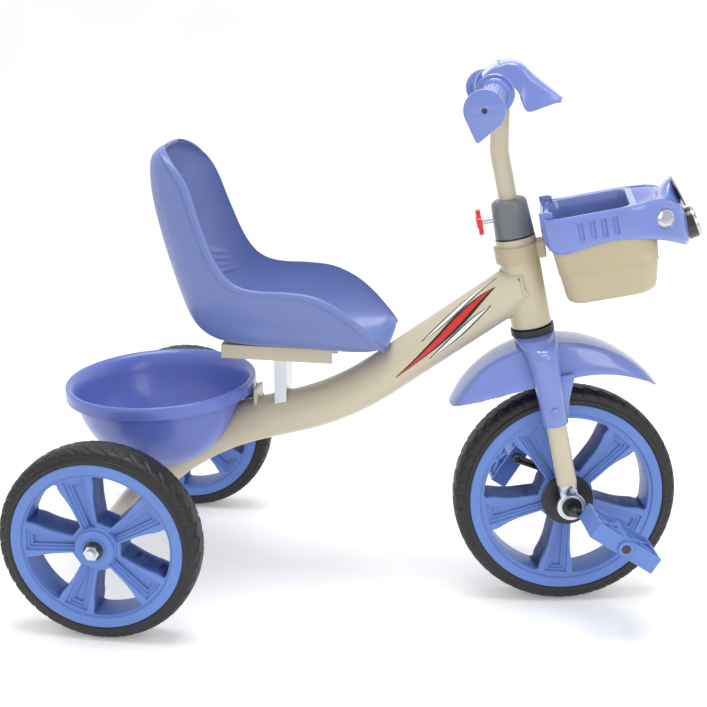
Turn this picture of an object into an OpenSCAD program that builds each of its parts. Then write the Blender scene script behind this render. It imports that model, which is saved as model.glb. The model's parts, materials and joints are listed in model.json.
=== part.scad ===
// Children's pedal tricycle with a bucket seat, a front basket and a rear bowl.
// +X points forwards, +Y to the rider's left and +Z up. The origin is on the floor,
// on the middle plane, half way between the back of the rear tyres and the nose.

/* [Overall] */
// Distance between the rear axle and the front axle
wheelbase = 489; // [440:1:560]
// Distance between the middle planes of the two rear wheels
rear_track = 340; // [320:1:400]
// Backward lean of the steering axis from upright, in degrees
head_tilt = 13; // [8:0.5:18]
// Angle that the fork is turned to the left at rest, in degrees
steer_rest = 11; // [-20:1:20]
// Angle that the handlebar is turned to the left at rest, in degrees
bar_rest = 3; // [-20:1:20]

/* [Wheels] */
// Outside radius of the front tyre
front_tyre_r = 127; // [115:1:140]
// Outside radius of the blue front rim
front_rim_r = 110; // [100:1:114]
// Width of the front tyre
front_tyre_w = 42; // [36:1:46]
// Outside radius of each rear tyre
rear_tyre_r = 110; // [100:1:125]
// Outside radius of each blue rear rim
rear_rim_r = 94; // [84:1:98]
// Width of each rear tyre
rear_tyre_w = 38; // [32:1:42]
// Number of spokes in each rim
spokes = 5; // [4:1:6]
// Width of a spoke where it meets the rim
spoke_w = 40; // [30:1:42]
// Radius of the front hub barrel
front_hub_r = 28; // [24:1:32]
// Radius of each rear hub barrel
rear_hub_r = 20; // [17:1:26]
// Radius of the rear axle rod
rear_axle_r = 5; // [4:0.5:6]

/* [Frame] */
// Radius of the main tube
tube_r = 25; // [20:0.5:27]
// Wall of the main tube and the head tube
tube_wall = 2; // [1.5:0.5:3]
// Centreline radius of both bends in the main tube
bend_r = 300; // [250:10:340]
// Radius of the head tube
head_r = 22; // [21:0.5:25]
// Distance from the front axle to the lower end of the head tube, along the steering axis
head_low = 203.3; // [200:0.1:215]
// Length of the head tube
head_len = 100; // [90:1:110]
// Radius of the rear cross tube
cross_r = 14; // [12:0.5:18]

/* [Fork] */
// Distance from the middle plane to the centre of each fork leg
leg_v = 45; // [43:0.5:50]
// Radius of each fork leg
leg_r = 11; // [9:0.5:12]
// Radius of the steerer tube
steerer_r = 12.7; // [12:0.1:14]
// Radius of the mudguard's arch, measured to its outside
fender_r = 138; // [136:1:146]
// Half width of the mudguard
fender_half = 39; // [36:1:42]

/* [Handlebar] */
// Radius of the stem and of the crossbar
bar_r = 10; // [9:0.5:11]
// Distance from the middle plane to the outside of each grip
grip_end_v = 140; // [120:1:160]
// Length of each grip
grip_len = 88; // [76:1:92]
// Radius of the flanges on each grip
flange_r = 20.5; // [19:0.5:24]

/* [Crank and pedals] */
// Radius of the crank rod
crank_r = 5; // [4:0.5:6]
// Throw of each crank arm
crank_throw = 45; // [40:1:55]
// Angle of the right crank arm below the horizontal, in degrees
crank_angle = 33; // [0:1:90]
// Length of a pedal, front to back
pedal_len = 80; // [70:1:90]
// Width of a pedal, along its spindle
pedal_w = 54; // [46:1:60]
// Thickness of a pedal
pedal_t = 19; // [17:0.5:24]
// Tilt of each pedal at rest, right one nose down and left one nose up, in degrees
pedal_tilt = 45; // [0:1:60]

/* [Seat] */
// Half width of the seat between its rims
seat_half = 74; // [66:1:90]
// Wall of the moulded seat
seat_wall = 3.5; // [3:0.5:5]
// Height of the top of the seat's back above the floor
seat_top = 514; // [490:1:540]
// Height of the seat's underside above the floor
seat_low = 288; // [284:1:294]

/* [Bowl and basket] */
// Outside radius of the rear bowl's body
bowl_r = 97; // [90:1:102]
// Wall of the rear bowl
bowl_wall = 3; // [2:0.5:4]
// Height of the rear bowl's rim above the floor
bowl_top = 238; // [234:1:246]
// Half width of the front basket's trim
basket_half = 62; // [56:1:68]
// Wall of the front basket and its trim
basket_wall = 3; // [2.5:0.5:4]

/* [Fits] */
// Radial clearance of a shaft that turns in a bore
run_gap = 0.1; // [0.05:0.01:0.1]
// Gap between pieces that only sit beside each other
sit_gap = 0.3; // [0.2:0.05:0.5]

/* [Hidden] */
$fn = 64;
SMOOTH = 32; // facets on the children of a hull
eps = 0.01;
far = 1000; // longer than anything that is cut
band_w = 1;
band_over = 0.1;

// Places of the two axles, so that the origin lies under the middle of the length
nose_u = 194; // reach of the basket's nose ahead of the steering axis
nose_w = 270; // height of the nose along the steering axis
nose_reach = nose_u * cos(head_tilt) - nose_w * sin(head_tilt);
rear_x = (rear_tyre_r - wheelbase - nose_reach) / 2;
front_x = rear_x + wheelbase;

// Main tube: it drops from the head tube, levels out under the seat and drops to the axle
slope_front = 37;
slope_mid = 16;
slope_rear = 44;
mid_len = 42;
join_w = 252; // where its centreline meets the steering axis
join_x = front_x - join_w * sin(head_tilt);
join_z = front_tyre_r + join_w * cos(head_tilt);
rise = join_z - rear_tyre_r;
run = join_x - rear_x;
bend_run = bend_r * (sin(slope_front) - 2 * sin(slope_mid) + sin(slope_rear));
bend_rise = bend_r * (2 * cos(slope_mid) - cos(slope_front) - cos(slope_rear));
left_run = run - bend_run - mid_len * cos(slope_mid);
left_rise = rise - bend_rise - mid_len * sin(slope_mid);
front_len = (left_run * sin(slope_rear) - left_rise * cos(slope_rear)) / sin(slope_rear - slope_front);
rear_len = (left_rise * cos(slope_front) - left_run * sin(slope_front)) / sin(slope_rear - slope_front);

// Wheels
rim_wall = 4;
rim_flange = 4; // thickness of the flange that holds the tyre's edge
rim_band = 12; // height of that flange
hub_cap_t = 5;
cap_gap = 0.4;
plug_t = 7;
rear_hub_half = rear_tyre_w / 2 + 1;
wheel_y = rear_track / 2;
washer_t = 1.6;
nut_t = 6;
nut_r = 8.5;
axle_over = 4; // how far the axle stands out of its nut
axle_half = wheel_y + rear_hub_half + hub_cap_t + washer_t + nut_t + axle_over;
cross_half = wheel_y - rear_hub_half - plug_t - cap_gap;

// Fork
crown_t = 14;
crown_top = 182;
leg_low = 28;
end_t = 5; // thickness of the flattened fork end
eye_r = 16;
bush_r = 9;
ring_t = 7;
head_top = head_low + head_len;
head_bore = head_r - tube_wall - 0.5;
bush_len = 14;
bush_lip = 1.6;
sleeve_low = head_top + bush_lip + sit_gap;
sleeve_len = 41;
sleeve_r = 21.5;
sleeve_top_r = 19.5;
stem_gap = 0.3;
stem_low = 222; // lower end of the stem inside the steerer
knob_w = sleeve_low + 22;
screw_r = 3.5;
screw_len = 22.5;
collar_low = head_low + 75;
collar_h = 17;
collar_r = head_r + 3.5;
hub_disc_t = 5;
front_hub_half = front_tyre_w / 2 + 1;
fender_mid = 49; // height of the arch's centre above the axle
fender_wall = 2.5;
shroud_r = leg_r + 3.5;
shroud_low = 99;

// Handlebar
bar_w = 467.5; // height of the crossbar's middle along the steering axis
sweep = 8.4;
droop = 4.3;
grip_r = 15;
flange_t = 5;
tail = 31; // length of the pointed tail on a grip's end plate
kink_w = 392; // where the stem bends forwards
kink_r = 60;
stem_lean = 12;
stem_end = (bar_w - kink_w - kink_r * sin(stem_lean)) / cos(stem_lean); // straight beyond the bend
bar_u = kink_r * (1 - cos(stem_lean)) + stem_end * sin(stem_lean); // how far the crossbar is ahead

// Crank
arm_v = leg_v + leg_r + crank_r + 1.5;
pedal_v = arm_v + crank_r + 2;
spindle_v = pedal_v + pedal_w;
cap_t = 2.5;

BLUE = [0.44, 0.52, 0.86];
CREAM = [0.84, 0.80, 0.69];
BLACK = [0.08, 0.08, 0.09];
ZINC = [0.72, 0.74, 0.77];
GREY = [0.47, 0.49, 0.51];
RED = [0.85, 0.08, 0.12];

// ---------- places ----------

// Rear axle's centre on the middle plane
module at_rear_axle() translate([rear_x, 0, rear_tyre_r]) children();

// Front axle's centre, with Z along the steering axis and X forwards, as the frame stands
module at_head() translate([front_x, 0, front_tyre_r]) rotate([0, -head_tilt, 0]) children();

// The same, turned with the fork
module at_fork() at_head() rotate([0, 0, steer_rest]) children();

// The same, turned with the handlebar
module at_bar() at_head() rotate([0, 0, bar_rest]) children();

// A copy on each side of the middle plane
module both_sides() {
    children();
    mirror([0, 1, 0]) children();
}

// A cylinder along Y, from y = low to y = high
module along_y(r, low, high) translate([0, high, 0]) rotate([90, 0, 0]) cylinder(r = r, h = high - low);

// ---------- bent tubes ----------

// A bend that leaves the origin along +Z and turns towards +X
module elbow(radius, angle, r, bore = 0)
    translate([radius, 0, 0]) rotate([90, 0, 180]) rotate_extrude(angle = angle, $fn = 96)
        translate([radius, 0]) difference() {
            circle(r = r);
            if (bore > 0) circle(r = bore);
        }

// Moves its children to the far end of such a bend
module past_elbow(radius, angle)
    translate([radius, 0, 0]) rotate([0, angle, 0]) translate([-radius, 0, 0]) children();

// A straight tube along +Z
module straight(length, r, bore = 0) difference() {
    cylinder(r = r, h = length);
    if (bore > 0) translate([0, 0, -eps]) cylinder(r = bore, h = length + 2 * eps);
}

// Turns its children by half a turn, so that a bend goes the other way
module other_way() rotate([0, 0, 180]) children();

// A narrow band over the joint of two lengths of tube, which makes them one
module joint_band(r, bore = 0) translate([0, 0, -band_w / 2])
    straight(band_w, r + band_over, bore > 0 ? bore - band_over : 0);

// The whole route of the main tube, from the steering axis to the rear axle
module main_route(r, bore = 0)
    translate([join_x, 0, join_z]) rotate([0, -90 - slope_front, 0]) {
        straight(front_len, r, bore);
        translate([0, 0, front_len]) {
            joint_band(r, bore);
            elbow(bend_r, slope_front - slope_mid, r, bore);
            past_elbow(bend_r, slope_front - slope_mid) {
                joint_band(r, bore);
                straight(mid_len, r, bore);
                translate([0, 0, mid_len]) other_way() {
                    joint_band(r, bore);
                    elbow(bend_r, slope_rear - slope_mid, r, bore);
                    past_elbow(bend_r, slope_rear - slope_mid) {
                        joint_band(r, bore);
                        straight(rear_len, r, bore);
                    }
                }
            }
        }
    }

// ---------- frame ----------

module main_tube() color(CREAM) difference() {
    main_route(tube_r, tube_r - tube_wall);
    at_head() translate([0, 0, head_low - 20]) cylinder(r = head_r, h = head_len + 40);
    at_rear_axle() along_y(cross_r, -cross_half, cross_half);
    at_rear_axle() translate([-far, -far / 2, -far / 2]) cube([far, far, far]);
}

module head_tube() color(CREAM) at_head() difference() {
    translate([0, 0, head_low]) cylinder(r = head_r, h = head_len);
    translate([0, 0, head_low - eps]) cylinder(r = head_bore, h = head_len + 2 * eps);
}

module rear_cross_tube() color(CREAM) at_rear_axle() difference() {
    along_y(cross_r, -cross_half, cross_half);
    along_y(cross_r - tube_wall, -cross_half - eps, cross_half + eps);
}

// Nylon bushes pressed into both ends of the head tube
module head_bush() difference() {
    union() {
        cylinder(r = head_bore, h = bush_len);
        translate([0, 0, -bush_lip]) cylinder(r = head_r - 1, h = bush_lip);
    }
    translate([0, 0, -bush_lip - eps]) cylinder(r = steerer_r + run_gap, h = bush_len + bush_lip + 2 * eps);
}

module head_bushes() color(BLACK) at_head() {
    translate([0, 0, head_low]) head_bush();
    translate([0, 0, head_top]) mirror([0, 0, 1]) head_bush();
}

module rear_axle() color(ZINC) at_rear_axle() along_y(rear_axle_r, -axle_half, axle_half);

// Plugs that close the cross tube and keep the wheels off it
module axle_plugs() color(BLACK) at_rear_axle() both_sides() difference() {
    union() {
        along_y(cross_r + 2, cross_half, cross_half + plug_t);
        along_y(cross_r - tube_wall, cross_half - 12, cross_half);
    }
    along_y(rear_axle_r, cross_half - 13, cross_half + plug_t + eps);
}

washer_y = wheel_y + rear_hub_half + hub_cap_t;

module axle_washers() color(ZINC) at_rear_axle() both_sides() difference() {
    along_y(nut_r + 2, washer_y, washer_y + washer_t);
    along_y(rear_axle_r, washer_y - eps, washer_y + washer_t + eps);
}

module axle_nuts() color(ZINC) at_rear_axle() both_sides() difference() {
    translate([0, washer_y + washer_t + nut_t, 0]) rotate([90, 0, 0])
        cylinder(r = nut_r, h = nut_t, $fn = 6);
    along_y(rear_axle_r, washer_y, washer_y + washer_t + nut_t + eps);
}

// ---------- seat ----------

// Two lines in the X-Z plane shape the seat, both from the top of the back to the front lip:
// the middle of its underside, and its rims. U sections join them. Z is above seat_low, and
// the back's points scale with its height.
seat_x = rear_x + 18; // the rearmost point of the back
back_k = (seat_top - seat_low) / 226;
mid_line = [
    [12, 222 * back_k], [1, 206 * back_k], [5, 170 * back_k], [15, 124 * back_k], [25, 90 * back_k],
    [36, 56 * back_k], [46, 30], [62, 12], [88, 2], [132, 0], [180, 0], [226, 0], [254, 4], [271, 13]
];
rim_line = [
    [20, 226 * back_k], [35, 214 * back_k], [52, 190 * back_k], [68, 147 * back_k], [83, 113 * back_k],
    [96, 92 * back_k], [111, 82], [132, 78], [162, 79], [192, 76], [219, 64], [242, 48], [260, 29],
        [273, 17]
];
seat_rows = 26;
seat_cols = 16;
// Share of the half width that the seat has at each of those points
width_line = [0.24, 0.56, 0.82, 0.92, 0.96, 0.98, 1, 1, 1, 1, 0.99, 0.97, 0.92, 0.8];

// Smooth curve through a list's values, from t = 0 at the first to t = 1 at the last
function along(list, t) = let (
    last = len(list) - 1,
    i = min(last - 1, floor(t * last)),
    k = t * last - i,
    p0 = list[max(0, i - 1)], p1 = list[i], p2 = list[i + 1], p3 = list[min(last, i + 2)])
    p1 + 0.5 * k * (p2 - p0 + k * (2 * p0 - 5 * p1 + 4 * p2 - p3 + k * (3 * (p1 - p2) + p3 - p0)));

// Point of the U section at a, which runs from 90 at the left rim to -90 at the right one
function seat_point(t, a, inset) = let (
    mid = along(mid_line, t), reach = along(rim_line, t) - mid,
    lift = 1 - pow(cos(a), 1.15) + inset * pow(cos(a), 0.5) / norm(reach),
    y = (seat_half * along(width_line, t) - inset) * sign(sin(a)) * pow(abs(sin(a)), 0.75))
    [seat_x + mid[0] + reach[0] * lift, y, seat_low + mid[1] + reach[1] * lift];

function seat_skin(inset) = [
    for (i = [0 : seat_rows]) for (j = [0 : seat_cols])
        seat_point(i / seat_rows, 90 - 180 * j / seat_cols, inset)
];

seat_ring = seat_cols + 1;
seat_count = (seat_rows + 1) * seat_ring;
function at(i, j) = i * seat_ring + j;

// Faces of the outer skin, the inner skin and the edge that joins them
seat_faces = concat(
    [for (i = [0 : seat_rows - 1]) for (j = [0 : seat_cols - 1])
        [at(i, j), at(i, j + 1), at(i + 1, j + 1), at(i + 1, j)]],
    [for (i = [0 : seat_rows - 1]) for (j = [0 : seat_cols - 1])
        [for (k = [at(i, j), at(i + 1, j), at(i + 1, j + 1), at(i, j + 1)]) k + seat_count]],
    [for (i = [0 : seat_rows - 1]) [at(i, 0), at(i + 1, 0), at(i + 1, 0) + seat_count, at(i,
        0) + seat_count]],
    [for (i = [0 : seat_rows - 1])
        [at(i, seat_cols), at(i, seat_cols) + seat_count, at(i + 1, seat_cols) + seat_count, at(i + 1,
            seat_cols)]],
    [for (j = [0 : seat_cols - 1]) [at(0, j), at(0, j) + seat_count, at(0, j + 1) + seat_count, at(0,
        j + 1)]],
    [for (j = [0 : seat_cols - 1])
        [at(seat_rows, j), at(seat_rows, j + 1), at(seat_rows, j + 1) + seat_count, at(seat_rows,
            j) + seat_count]]
);

module seat() color(BLUE)
    polyhedron(points = concat(seat_skin(0), seat_skin(seat_wall)), faces = seat_faces);

// Runs under the seat, from the rear of the pan to where the main tube rises to meet it
rail_x = rear_x + 95;
rail_len = 128;
rail_w = 40;
rail_h = 16;
rail_top = seat_low - 0.5;
upright_x = rear_x + 156;
upright_len = 14;
bolt_x = [rail_x + 20, rail_x + 85];
bolt_r = 3;
bolt_head_r = 8;
bolt_head_t = 8;

module seat_rail() color(CREAM) difference() {
    translate([rail_x, -rail_w / 2, rail_top - rail_h]) cube([rail_len, rail_w, rail_h]);
    translate([rail_x - eps, -rail_w / 2 + tube_wall, rail_top - rail_h - eps])
        cube([rail_len + 2 * eps, rail_w - 2 * tube_wall, rail_h - tube_wall]);
    main_route(tube_r);
    for (x = bolt_x) translate([x, 0, rail_top - rail_h]) cylinder(r = bolt_r + 0.1, h = rail_h + eps);
}

module seat_upright() color(CREAM) difference() {
    translate([upright_x, -rail_w / 2 + tube_wall, main_height(upright_x)])
        cube([upright_len, rail_w - 2 * tube_wall, rail_top - tube_wall - main_height(upright_x)]);
    main_route(tube_r);
}

// Height of the main tube's middle line under the seat, where its route is straight
function main_height(x) = join_z - (front_len * sin(slope_front) + bend_r * (cos(slope_mid) - cos(slope_front)))
    - (join_x - front_len * cos(slope_front) - bend_r * (sin(slope_front) - sin(slope_mid)) - x) * tan(slope_mid);

module seat_bolts() color(BLACK) for (x = bolt_x) translate([x, 0, rail_top - tube_wall]) {
    translate([0, 0, -bolt_head_t - sit_gap]) cylinder(r = bolt_head_r, h = bolt_head_t);
    translate([0, 0, -sit_gap - eps]) cylinder(r = bolt_r, h = tube_wall + sit_gap);
}

// A small blank oval let into the back, near its top
module seat_badge() color(ZINC) translate([seat_x + 18, -30, seat_top - 44]) rotate([0, 78, 0])
    hull() for (s = [-1, 1]) translate([9 * s, 0, 0]) cylinder(r = 5, h = 1.6, $fn = SMOOTH);

// ---------- rear bowl ----------

bowl_x = rear_x + 17;
bowl_tilt = 2.5;
lip_r = bowl_r + 13;
lip_h = 15;
tunnel_gap = 1;
bowl_depth = bowl_r - 2;

module at_bowl() translate([bowl_x, 0, bowl_top]) rotate([0, -bowl_tilt, 0]) children();

// Outline of the bowl's body without its lip, filled in
module bowl_shape(inset) intersection() {
    translate([0, -6]) circle(r = bowl_r - inset, $fn = 96);
    translate([0, -bowl_depth + inset]) square([bowl_r, bowl_depth - inset + eps]);
}

module bowl_profile() {
    difference() {
        bowl_shape(0);
        bowl_shape(bowl_wall);
    }
    difference() {
        translate([bowl_r - 6, -lip_h]) square([lip_r - bowl_r + 6, lip_h]);
        translate([0, -lip_h - eps]) square([lip_r - bowl_wall, lip_h - bowl_wall]);
        translate([0, -6]) circle(r = bowl_r - bowl_wall, $fn = 96);
    }
}

// The tube runs through a tunnel moulded up into the bowl's floor
module bowl() color(BLUE) difference() {
    union() {
        at_bowl() rotate_extrude($fn = 96) bowl_profile();
        intersection() {
            at_bowl() rotate_extrude($fn = 96) bowl_shape(bowl_wall / 2);
            main_route(tube_r + tunnel_gap + bowl_wall);
        }
    }
    main_route(tube_r + tunnel_gap);
}

// Two screws hold the tunnel's roof on the tube
bowl_bolt_x = [rear_x + 20, rear_x + 62];

module bowl_bolts() color(ZINC) for (x = bowl_bolt_x) tunnel_screw(x);

module tunnel_screw(x) translate([x, 0, rear_tyre_r + (x - rear_x) * tan(slope_rear)])
    rotate([0, -slope_rear, 0]) translate([0, 0, tube_r + tunnel_gap + bowl_wall + 0.4])
        cylinder(r = 6, h = 3);

lug_x = rear_x + 131;

module bowl_lug() color(CREAM) difference() {
    translate([lug_x, -15, main_height(lug_x)]) cube([4, 30, 40]);
    main_route(tube_r);
}

// ---------- front basket ----------

tub_low = 228;
tub_top = 318;
tub_rear = 44;
tub_front = 138;
trim_low = 268;
trim_top = 326;
trim_rear = 30;
side_end = 118; // where the sides start to close towards the nose

module collar_ring() difference() {
    cylinder(r = collar_r, h = collar_h);
    translate([0, 0, -eps]) cylinder(r = head_r, h = collar_h + 2 * eps);
}

module basket_collar() color(CREAM) at_head() translate([0, 0, collar_low]) {
    collar_ring();
    difference() {
        translate([0, -14, 0]) cube([trim_rear - 0.1, 28, collar_h]);
        translate([0, 0, -eps]) cylinder(r = head_r + 1, h = collar_h + 2 * eps);
    }
}

// A box with round corners that narrows downwards
module tub_body(inset) hull() {
    for (u = [tub_rear + 12, tub_front - 16], v = [-1, 1])
        translate([u, v * (basket_half - 26), tub_low + inset])
            cylinder(r = 14 - inset, h = 1, $fn = SMOOTH);
    for (u = [trim_rear + 16, side_end + 18], v = [-1, 1])
        translate([u, v * (basket_half - 16), tub_top])
            cylinder(r = 12 - inset, h = 1 + abs(inset), $fn = SMOOTH);
}

module basket_tub() color(CREAM) at_head() difference() {
    tub_body(0);
    tub_body(basket_wall);
}

// Plan of the trim, seen along the steering axis
module trim_plan(inset) hull() {
    for (v = [-1, 1]) {
        translate([trim_rear + 10, v * (basket_half - 10)]) circle(r = 10 - inset, $fn = SMOOTH);
        translate([side_end, v * (basket_half - 12)]) circle(r = 12 - inset, $fn = SMOOTH);
    }
    translate([nose_u - 34, 0]) circle(r = 34 - inset, $fn = 48);
}

// Side view of the trim: a flat sill that rises to a screen and falls to the nose
module trim_side() polygon([
    [trim_rear - 1, 300], [trim_rear + 6, 292], [60, 294], [95, 295], [130, 291], [164, 281],
    [183, trim_low], [nose_u + 1, 262], [nose_u + 1, 276], [188, 298], [178, 312], [168, 321],
    [154, trim_top], [60, trim_top], [trim_rear - 1, trim_top + 3]
]);

module trim_band(outer, inner) at_head() intersection() {
    linear_extrude(400) difference() {
        trim_plan(outer);
        trim_plan(inner);
    }
    rotate([90, 0, 0]) linear_extrude(4 * basket_half, center = true) trim_side();
}

module basket_trim() color(BLUE) difference() {
    union() {
        trim_band(0, basket_wall);
        at_head() intersection() {
            linear_extrude(400) trim_plan(1);
            rotate([90, 0, 0]) linear_extrude(4 * basket_half, center = true)
                polygon([
                    [144, 316], [156, 325], [166, 338], [171, 338], [175, 330], [182, 312], [188, 297],
                    [184, 293], [177, 307], [169, 324], [160, 316], [144, 309]
                ]);
            translate([120, 0, 0]) rotate([90, 0, 90]) linear_extrude(80) polygon([
                [-62, 280], [62, 280], [62, 319], [36, 326], [16, 337], [0, 339], [-16, 337],
                [-36, 326], [-62, 319]
            ]);
        }
    }
    at_head() tub_body(-sit_gap);
    at_head() lamp_seat(sit_gap);
    screen_form(sit_gap);
    badge_form(sit_gap);
}

// Dark screen let into the slope ahead of the trim's crest
module screen_form(grow) at_head() translate([178.4, 0, 321.6]) rotate([0, 66, 0])
    hull() for (v = [-1, 1]) translate([0, v * 16, -grow]) cylinder(r = 8 + grow, h = 3 + 2 * grow, $fn = SMOOTH);

module windscreen() color(BLACK) screen_form(0);

// The nose lamp sits in a round recess
module lamp_seat(grow) translate([nose_u - 12, 0, 284]) rotate([0, 78, 0])
    cylinder(r = 17 + grow, h = 11 + grow);

module nose_lamp() color(ZINC) at_head() difference() {
    lamp_seat(0);
    translate([nose_u - 12, 0, 284]) rotate([0, 78, 0]) translate([0, 0, 9]) cylinder(r = 14, h = 3);
}

// Blank ovals on both front corners of the trim, each let into its surface
module badge_form(grow) at_head() both_sides() translate([158, -42.2, 300]) rotate([90, 0, 44])
    hull() for (s = [-1, 1]) translate([5 * s, 0, -grow])
        cylinder(r = 9 + grow, h = 2 + 2 * grow, $fn = SMOOTH);

module side_badges() color(ZINC) badge_form(0);

module basket_screws() color(ZINC) at_head() both_sides() translate([0, -9, collar_low + collar_h / 2])
    rotate([0, 90, 0]) translate([0, 0, trim_rear + basket_wall + 0.2]) cylinder(r = 4, h = 3);

// ---------- fork ----------

module steerer() color(ZINC) at_fork() difference() {
    translate([0, 0, crown_top]) cylinder(r = steerer_r, h = sleeve_low + sleeve_len - 6 - crown_top);
    translate([0, 0, crown_top - eps]) cylinder(r = bar_r + stem_gap, h = far / 2);
    translate([0, 0, knob_w]) rotate([0, -90, 0]) cylinder(r = screw_r + run_gap, h = 2 * steerer_r);
}

module crown_bar(grow) hull() for (v = [-1, 1])
    translate([0, v * leg_v, crown_top - crown_t - grow])
        cylinder(r = leg_r + grow, h = crown_t + 2 * grow);

module fork_crown() color(CREAM) at_fork() crown_bar(0);

module fork_leg(side) color(CREAM) at_fork() translate([0, side * leg_v, leg_low]) difference() {
    cylinder(r = leg_r, h = crown_top - crown_t - leg_low);
    translate([0, 0, 6]) cylinder(r = leg_r - 1.5, h = crown_top - crown_t - leg_low - 6 + eps);
}

module fork_leg_right() fork_leg(-1);
module fork_leg_left() fork_leg(1);

// Flattened end that carries the axle's bush
module fork_end(side) color(ZINC) at_fork() translate([0, side * leg_v, 0]) difference() {
    union() {
        along_y(eye_r, -end_t / 2, end_t / 2);
        translate([-leg_r + 2, -end_t / 2, 0]) cube([2 * leg_r - 4, end_t, leg_low - 4]);
        translate([0, 0, leg_low - 10]) cylinder(r = leg_r - 0.5, h = 10);
    }
    along_y(bush_r, -end_t, end_t);
}

module fork_end_right() fork_end(-1);
module fork_end_left() fork_end(1);

module fork_bushes() color(BLACK) at_fork() both_sides() translate([0, leg_v, 0]) difference() {
    union() {
        along_y(bush_r, -end_t / 2, end_t / 2);
        along_y(bush_r + 2, end_t / 2, end_t / 2 + 2);
    }
    along_y(crank_r + run_gap, -end_t, end_t + 2);
}

// Black ring between the mudguard's collar and the head tube
ring_low = head_low - bush_lip - sit_gap - ring_t;

module crown_ring() color(BLACK) at_fork() translate([0, 0, ring_low]) difference() {
    cylinder(r = head_r + 2, h = ring_t);
    translate([0, 0, -eps]) cylinder(r = steerer_r + 0.2, h = ring_t + 2 * eps);
}

// Section of the mudguard's arch, with its outer corners rounded
module arch_section(inset) hull() for (v = [-1, 1]) {
    translate([fender_r - 20, v * (fender_half - 20)]) circle(r = 20 - inset, $fn = SMOOTH);
    translate([fender_r - 90, v * (fender_half - 10)]) circle(r = 10 - inset, $fn = SMOOTH);
}

module arch(inset) translate([0, 0, fender_mid]) rotate([90, 0, 0]) rotate([0, 0, 26])
    rotate_extrude(angle = 113, $fn = 96)
    arch_section(inset);

// Everything above the mudguard's lower edge, narrowed to round tips
module arch_keep() translate([0, 0, 132]) rotate([0, 6, 0]) linear_extrude(120) hull() {
    translate([-66, 0]) circle(r = 39, $fn = 48);
    translate([40, 0]) circle(r = 42, $fn = 48);
    translate([104, 0]) circle(r = 26, $fn = 48);
}

module fender_collar() translate([0, 0, crown_top - 6])
    cylinder(r = head_r + 1, h = ring_low - crown_top + 6 - eps);

module shroud(grow, low) translate([0, leg_v, low]) cylinder(r = shroud_r + grow, h = crown_top + 1 - low);

module fender() color(BLUE) at_fork() difference() {
    union() {
        intersection() {
            difference() {
                arch(0);
                arch(fender_wall);
            }
            arch_keep();
        }
        both_sides() shroud(0, shroud_low);
        fender_collar();
    }
    both_sides() translate([0, leg_v, 0]) cylinder(r = leg_r + sit_gap, h = crown_top - crown_t + eps);
    crown_bar(sit_gap);
    translate([0, 0, crown_top - eps]) cylinder(r = steerer_r + 0.2, h = 60);
    along_y(front_tyre_r + 12, -leg_v + 14, leg_v - 14);
}

module fender_screws() color(ZINC) at_fork() both_sides() translate([0, leg_v + shroud_r, 118])
    rotate([-90, 0, 0])
    translate([0, 0, eps]) cylinder(r = 4, h = 2);

// Grey sleeve on top of the steerer, with the clamp's nut inside it
module sleeve_shape() {
    cylinder(r1 = sleeve_r, r2 = sleeve_top_r, h = sleeve_len - 6);
    translate([0, 0, sleeve_len - 6]) rotate_extrude() intersection() {
        translate([sleeve_top_r - 6, 0]) circle(r = 6);
        square([sleeve_top_r, 6]);
    }
    translate([0, 0, sleeve_len - 6]) cylinder(r = sleeve_top_r - 6, h = 6);
}

nut_pocket = 13;

module clamp_hex(grow) translate([-nut_pocket, 0, knob_w]) rotate([0, -90, 0])
    cylinder(r = 7 + grow, h = 5 + grow, $fn = 6);

module stem_sleeve() color(GREY) at_fork() difference() {
    translate([0, 0, sleeve_low]) sleeve_shape();
    translate([0, 0, sleeve_low - eps]) cylinder(r = steerer_r, h = sleeve_len - 6 + eps);
    translate([0, 0, sleeve_low]) cylinder(r = bar_r + stem_gap, h = sleeve_len + eps);
    translate([0, 0, knob_w]) rotate([0, -90, 0]) cylinder(r = screw_r + run_gap, h = 2 * sleeve_r);
    clamp_hex(0);
}

module clamp_nut() color(ZINC) at_fork() difference() {
    clamp_hex(0);
    translate([0, 0, knob_w]) rotate([0, -90, 0]) cylinder(r = screw_r + run_gap, h = 2 * sleeve_r);
}

module clamp_screw() color(ZINC) at_fork() translate([-bar_r - 0.1, 0, knob_w]) rotate([0, -90, 0])
    cylinder(r = screw_r, h = screw_len);

module clamp_knob() color(RED) at_fork() translate([-bar_r - 0.1 - screw_len, 0, knob_w])
    rotate([0, -90, 0]) {
    hull() for (s = [-1, 1]) translate([11 * s, 0, 0]) cylinder(r = 3.2, h = 5, $fn = SMOOTH);
    cylinder(r = 6, h = 6);
}

// ---------- handlebar ----------

// The stem leaves the sleeve straight, bends forwards and ends in the crossbar
module stem() color(CREAM) at_bar() difference() {
    union() {
        translate([0, 0, stem_low]) straight(kink_w - stem_low, bar_r, bar_r - tube_wall);
        translate([0, 0, kink_w]) {
            joint_band(bar_r, bar_r - tube_wall);
            elbow(kink_r, stem_lean, bar_r, bar_r - tube_wall);
            past_elbow(kink_r, stem_lean) {
                joint_band(bar_r, bar_r - tube_wall);
                straight(stem_end, bar_r, bar_r - tube_wall);
            }
        }
    }
    crossbar_half(bar_r, -1);
    crossbar_half(bar_r, 1);
    translate([bar_u, 0, bar_w]) sphere(r = bar_r);
}

// One half of the crossbar, which sweeps back and droops a little
module bar_side(side) translate([bar_u, 0, bar_w]) rotate([0, 0, side * sweep])
    rotate([side * -droop, 0, 0])
    children();

module crossbar_half(r, side) bar_side(side) {
    if (side > 0) along_y(r, 0, grip_end_v - 8);
    if (side < 0) along_y(r, -grip_end_v + 8, 0);
}

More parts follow.
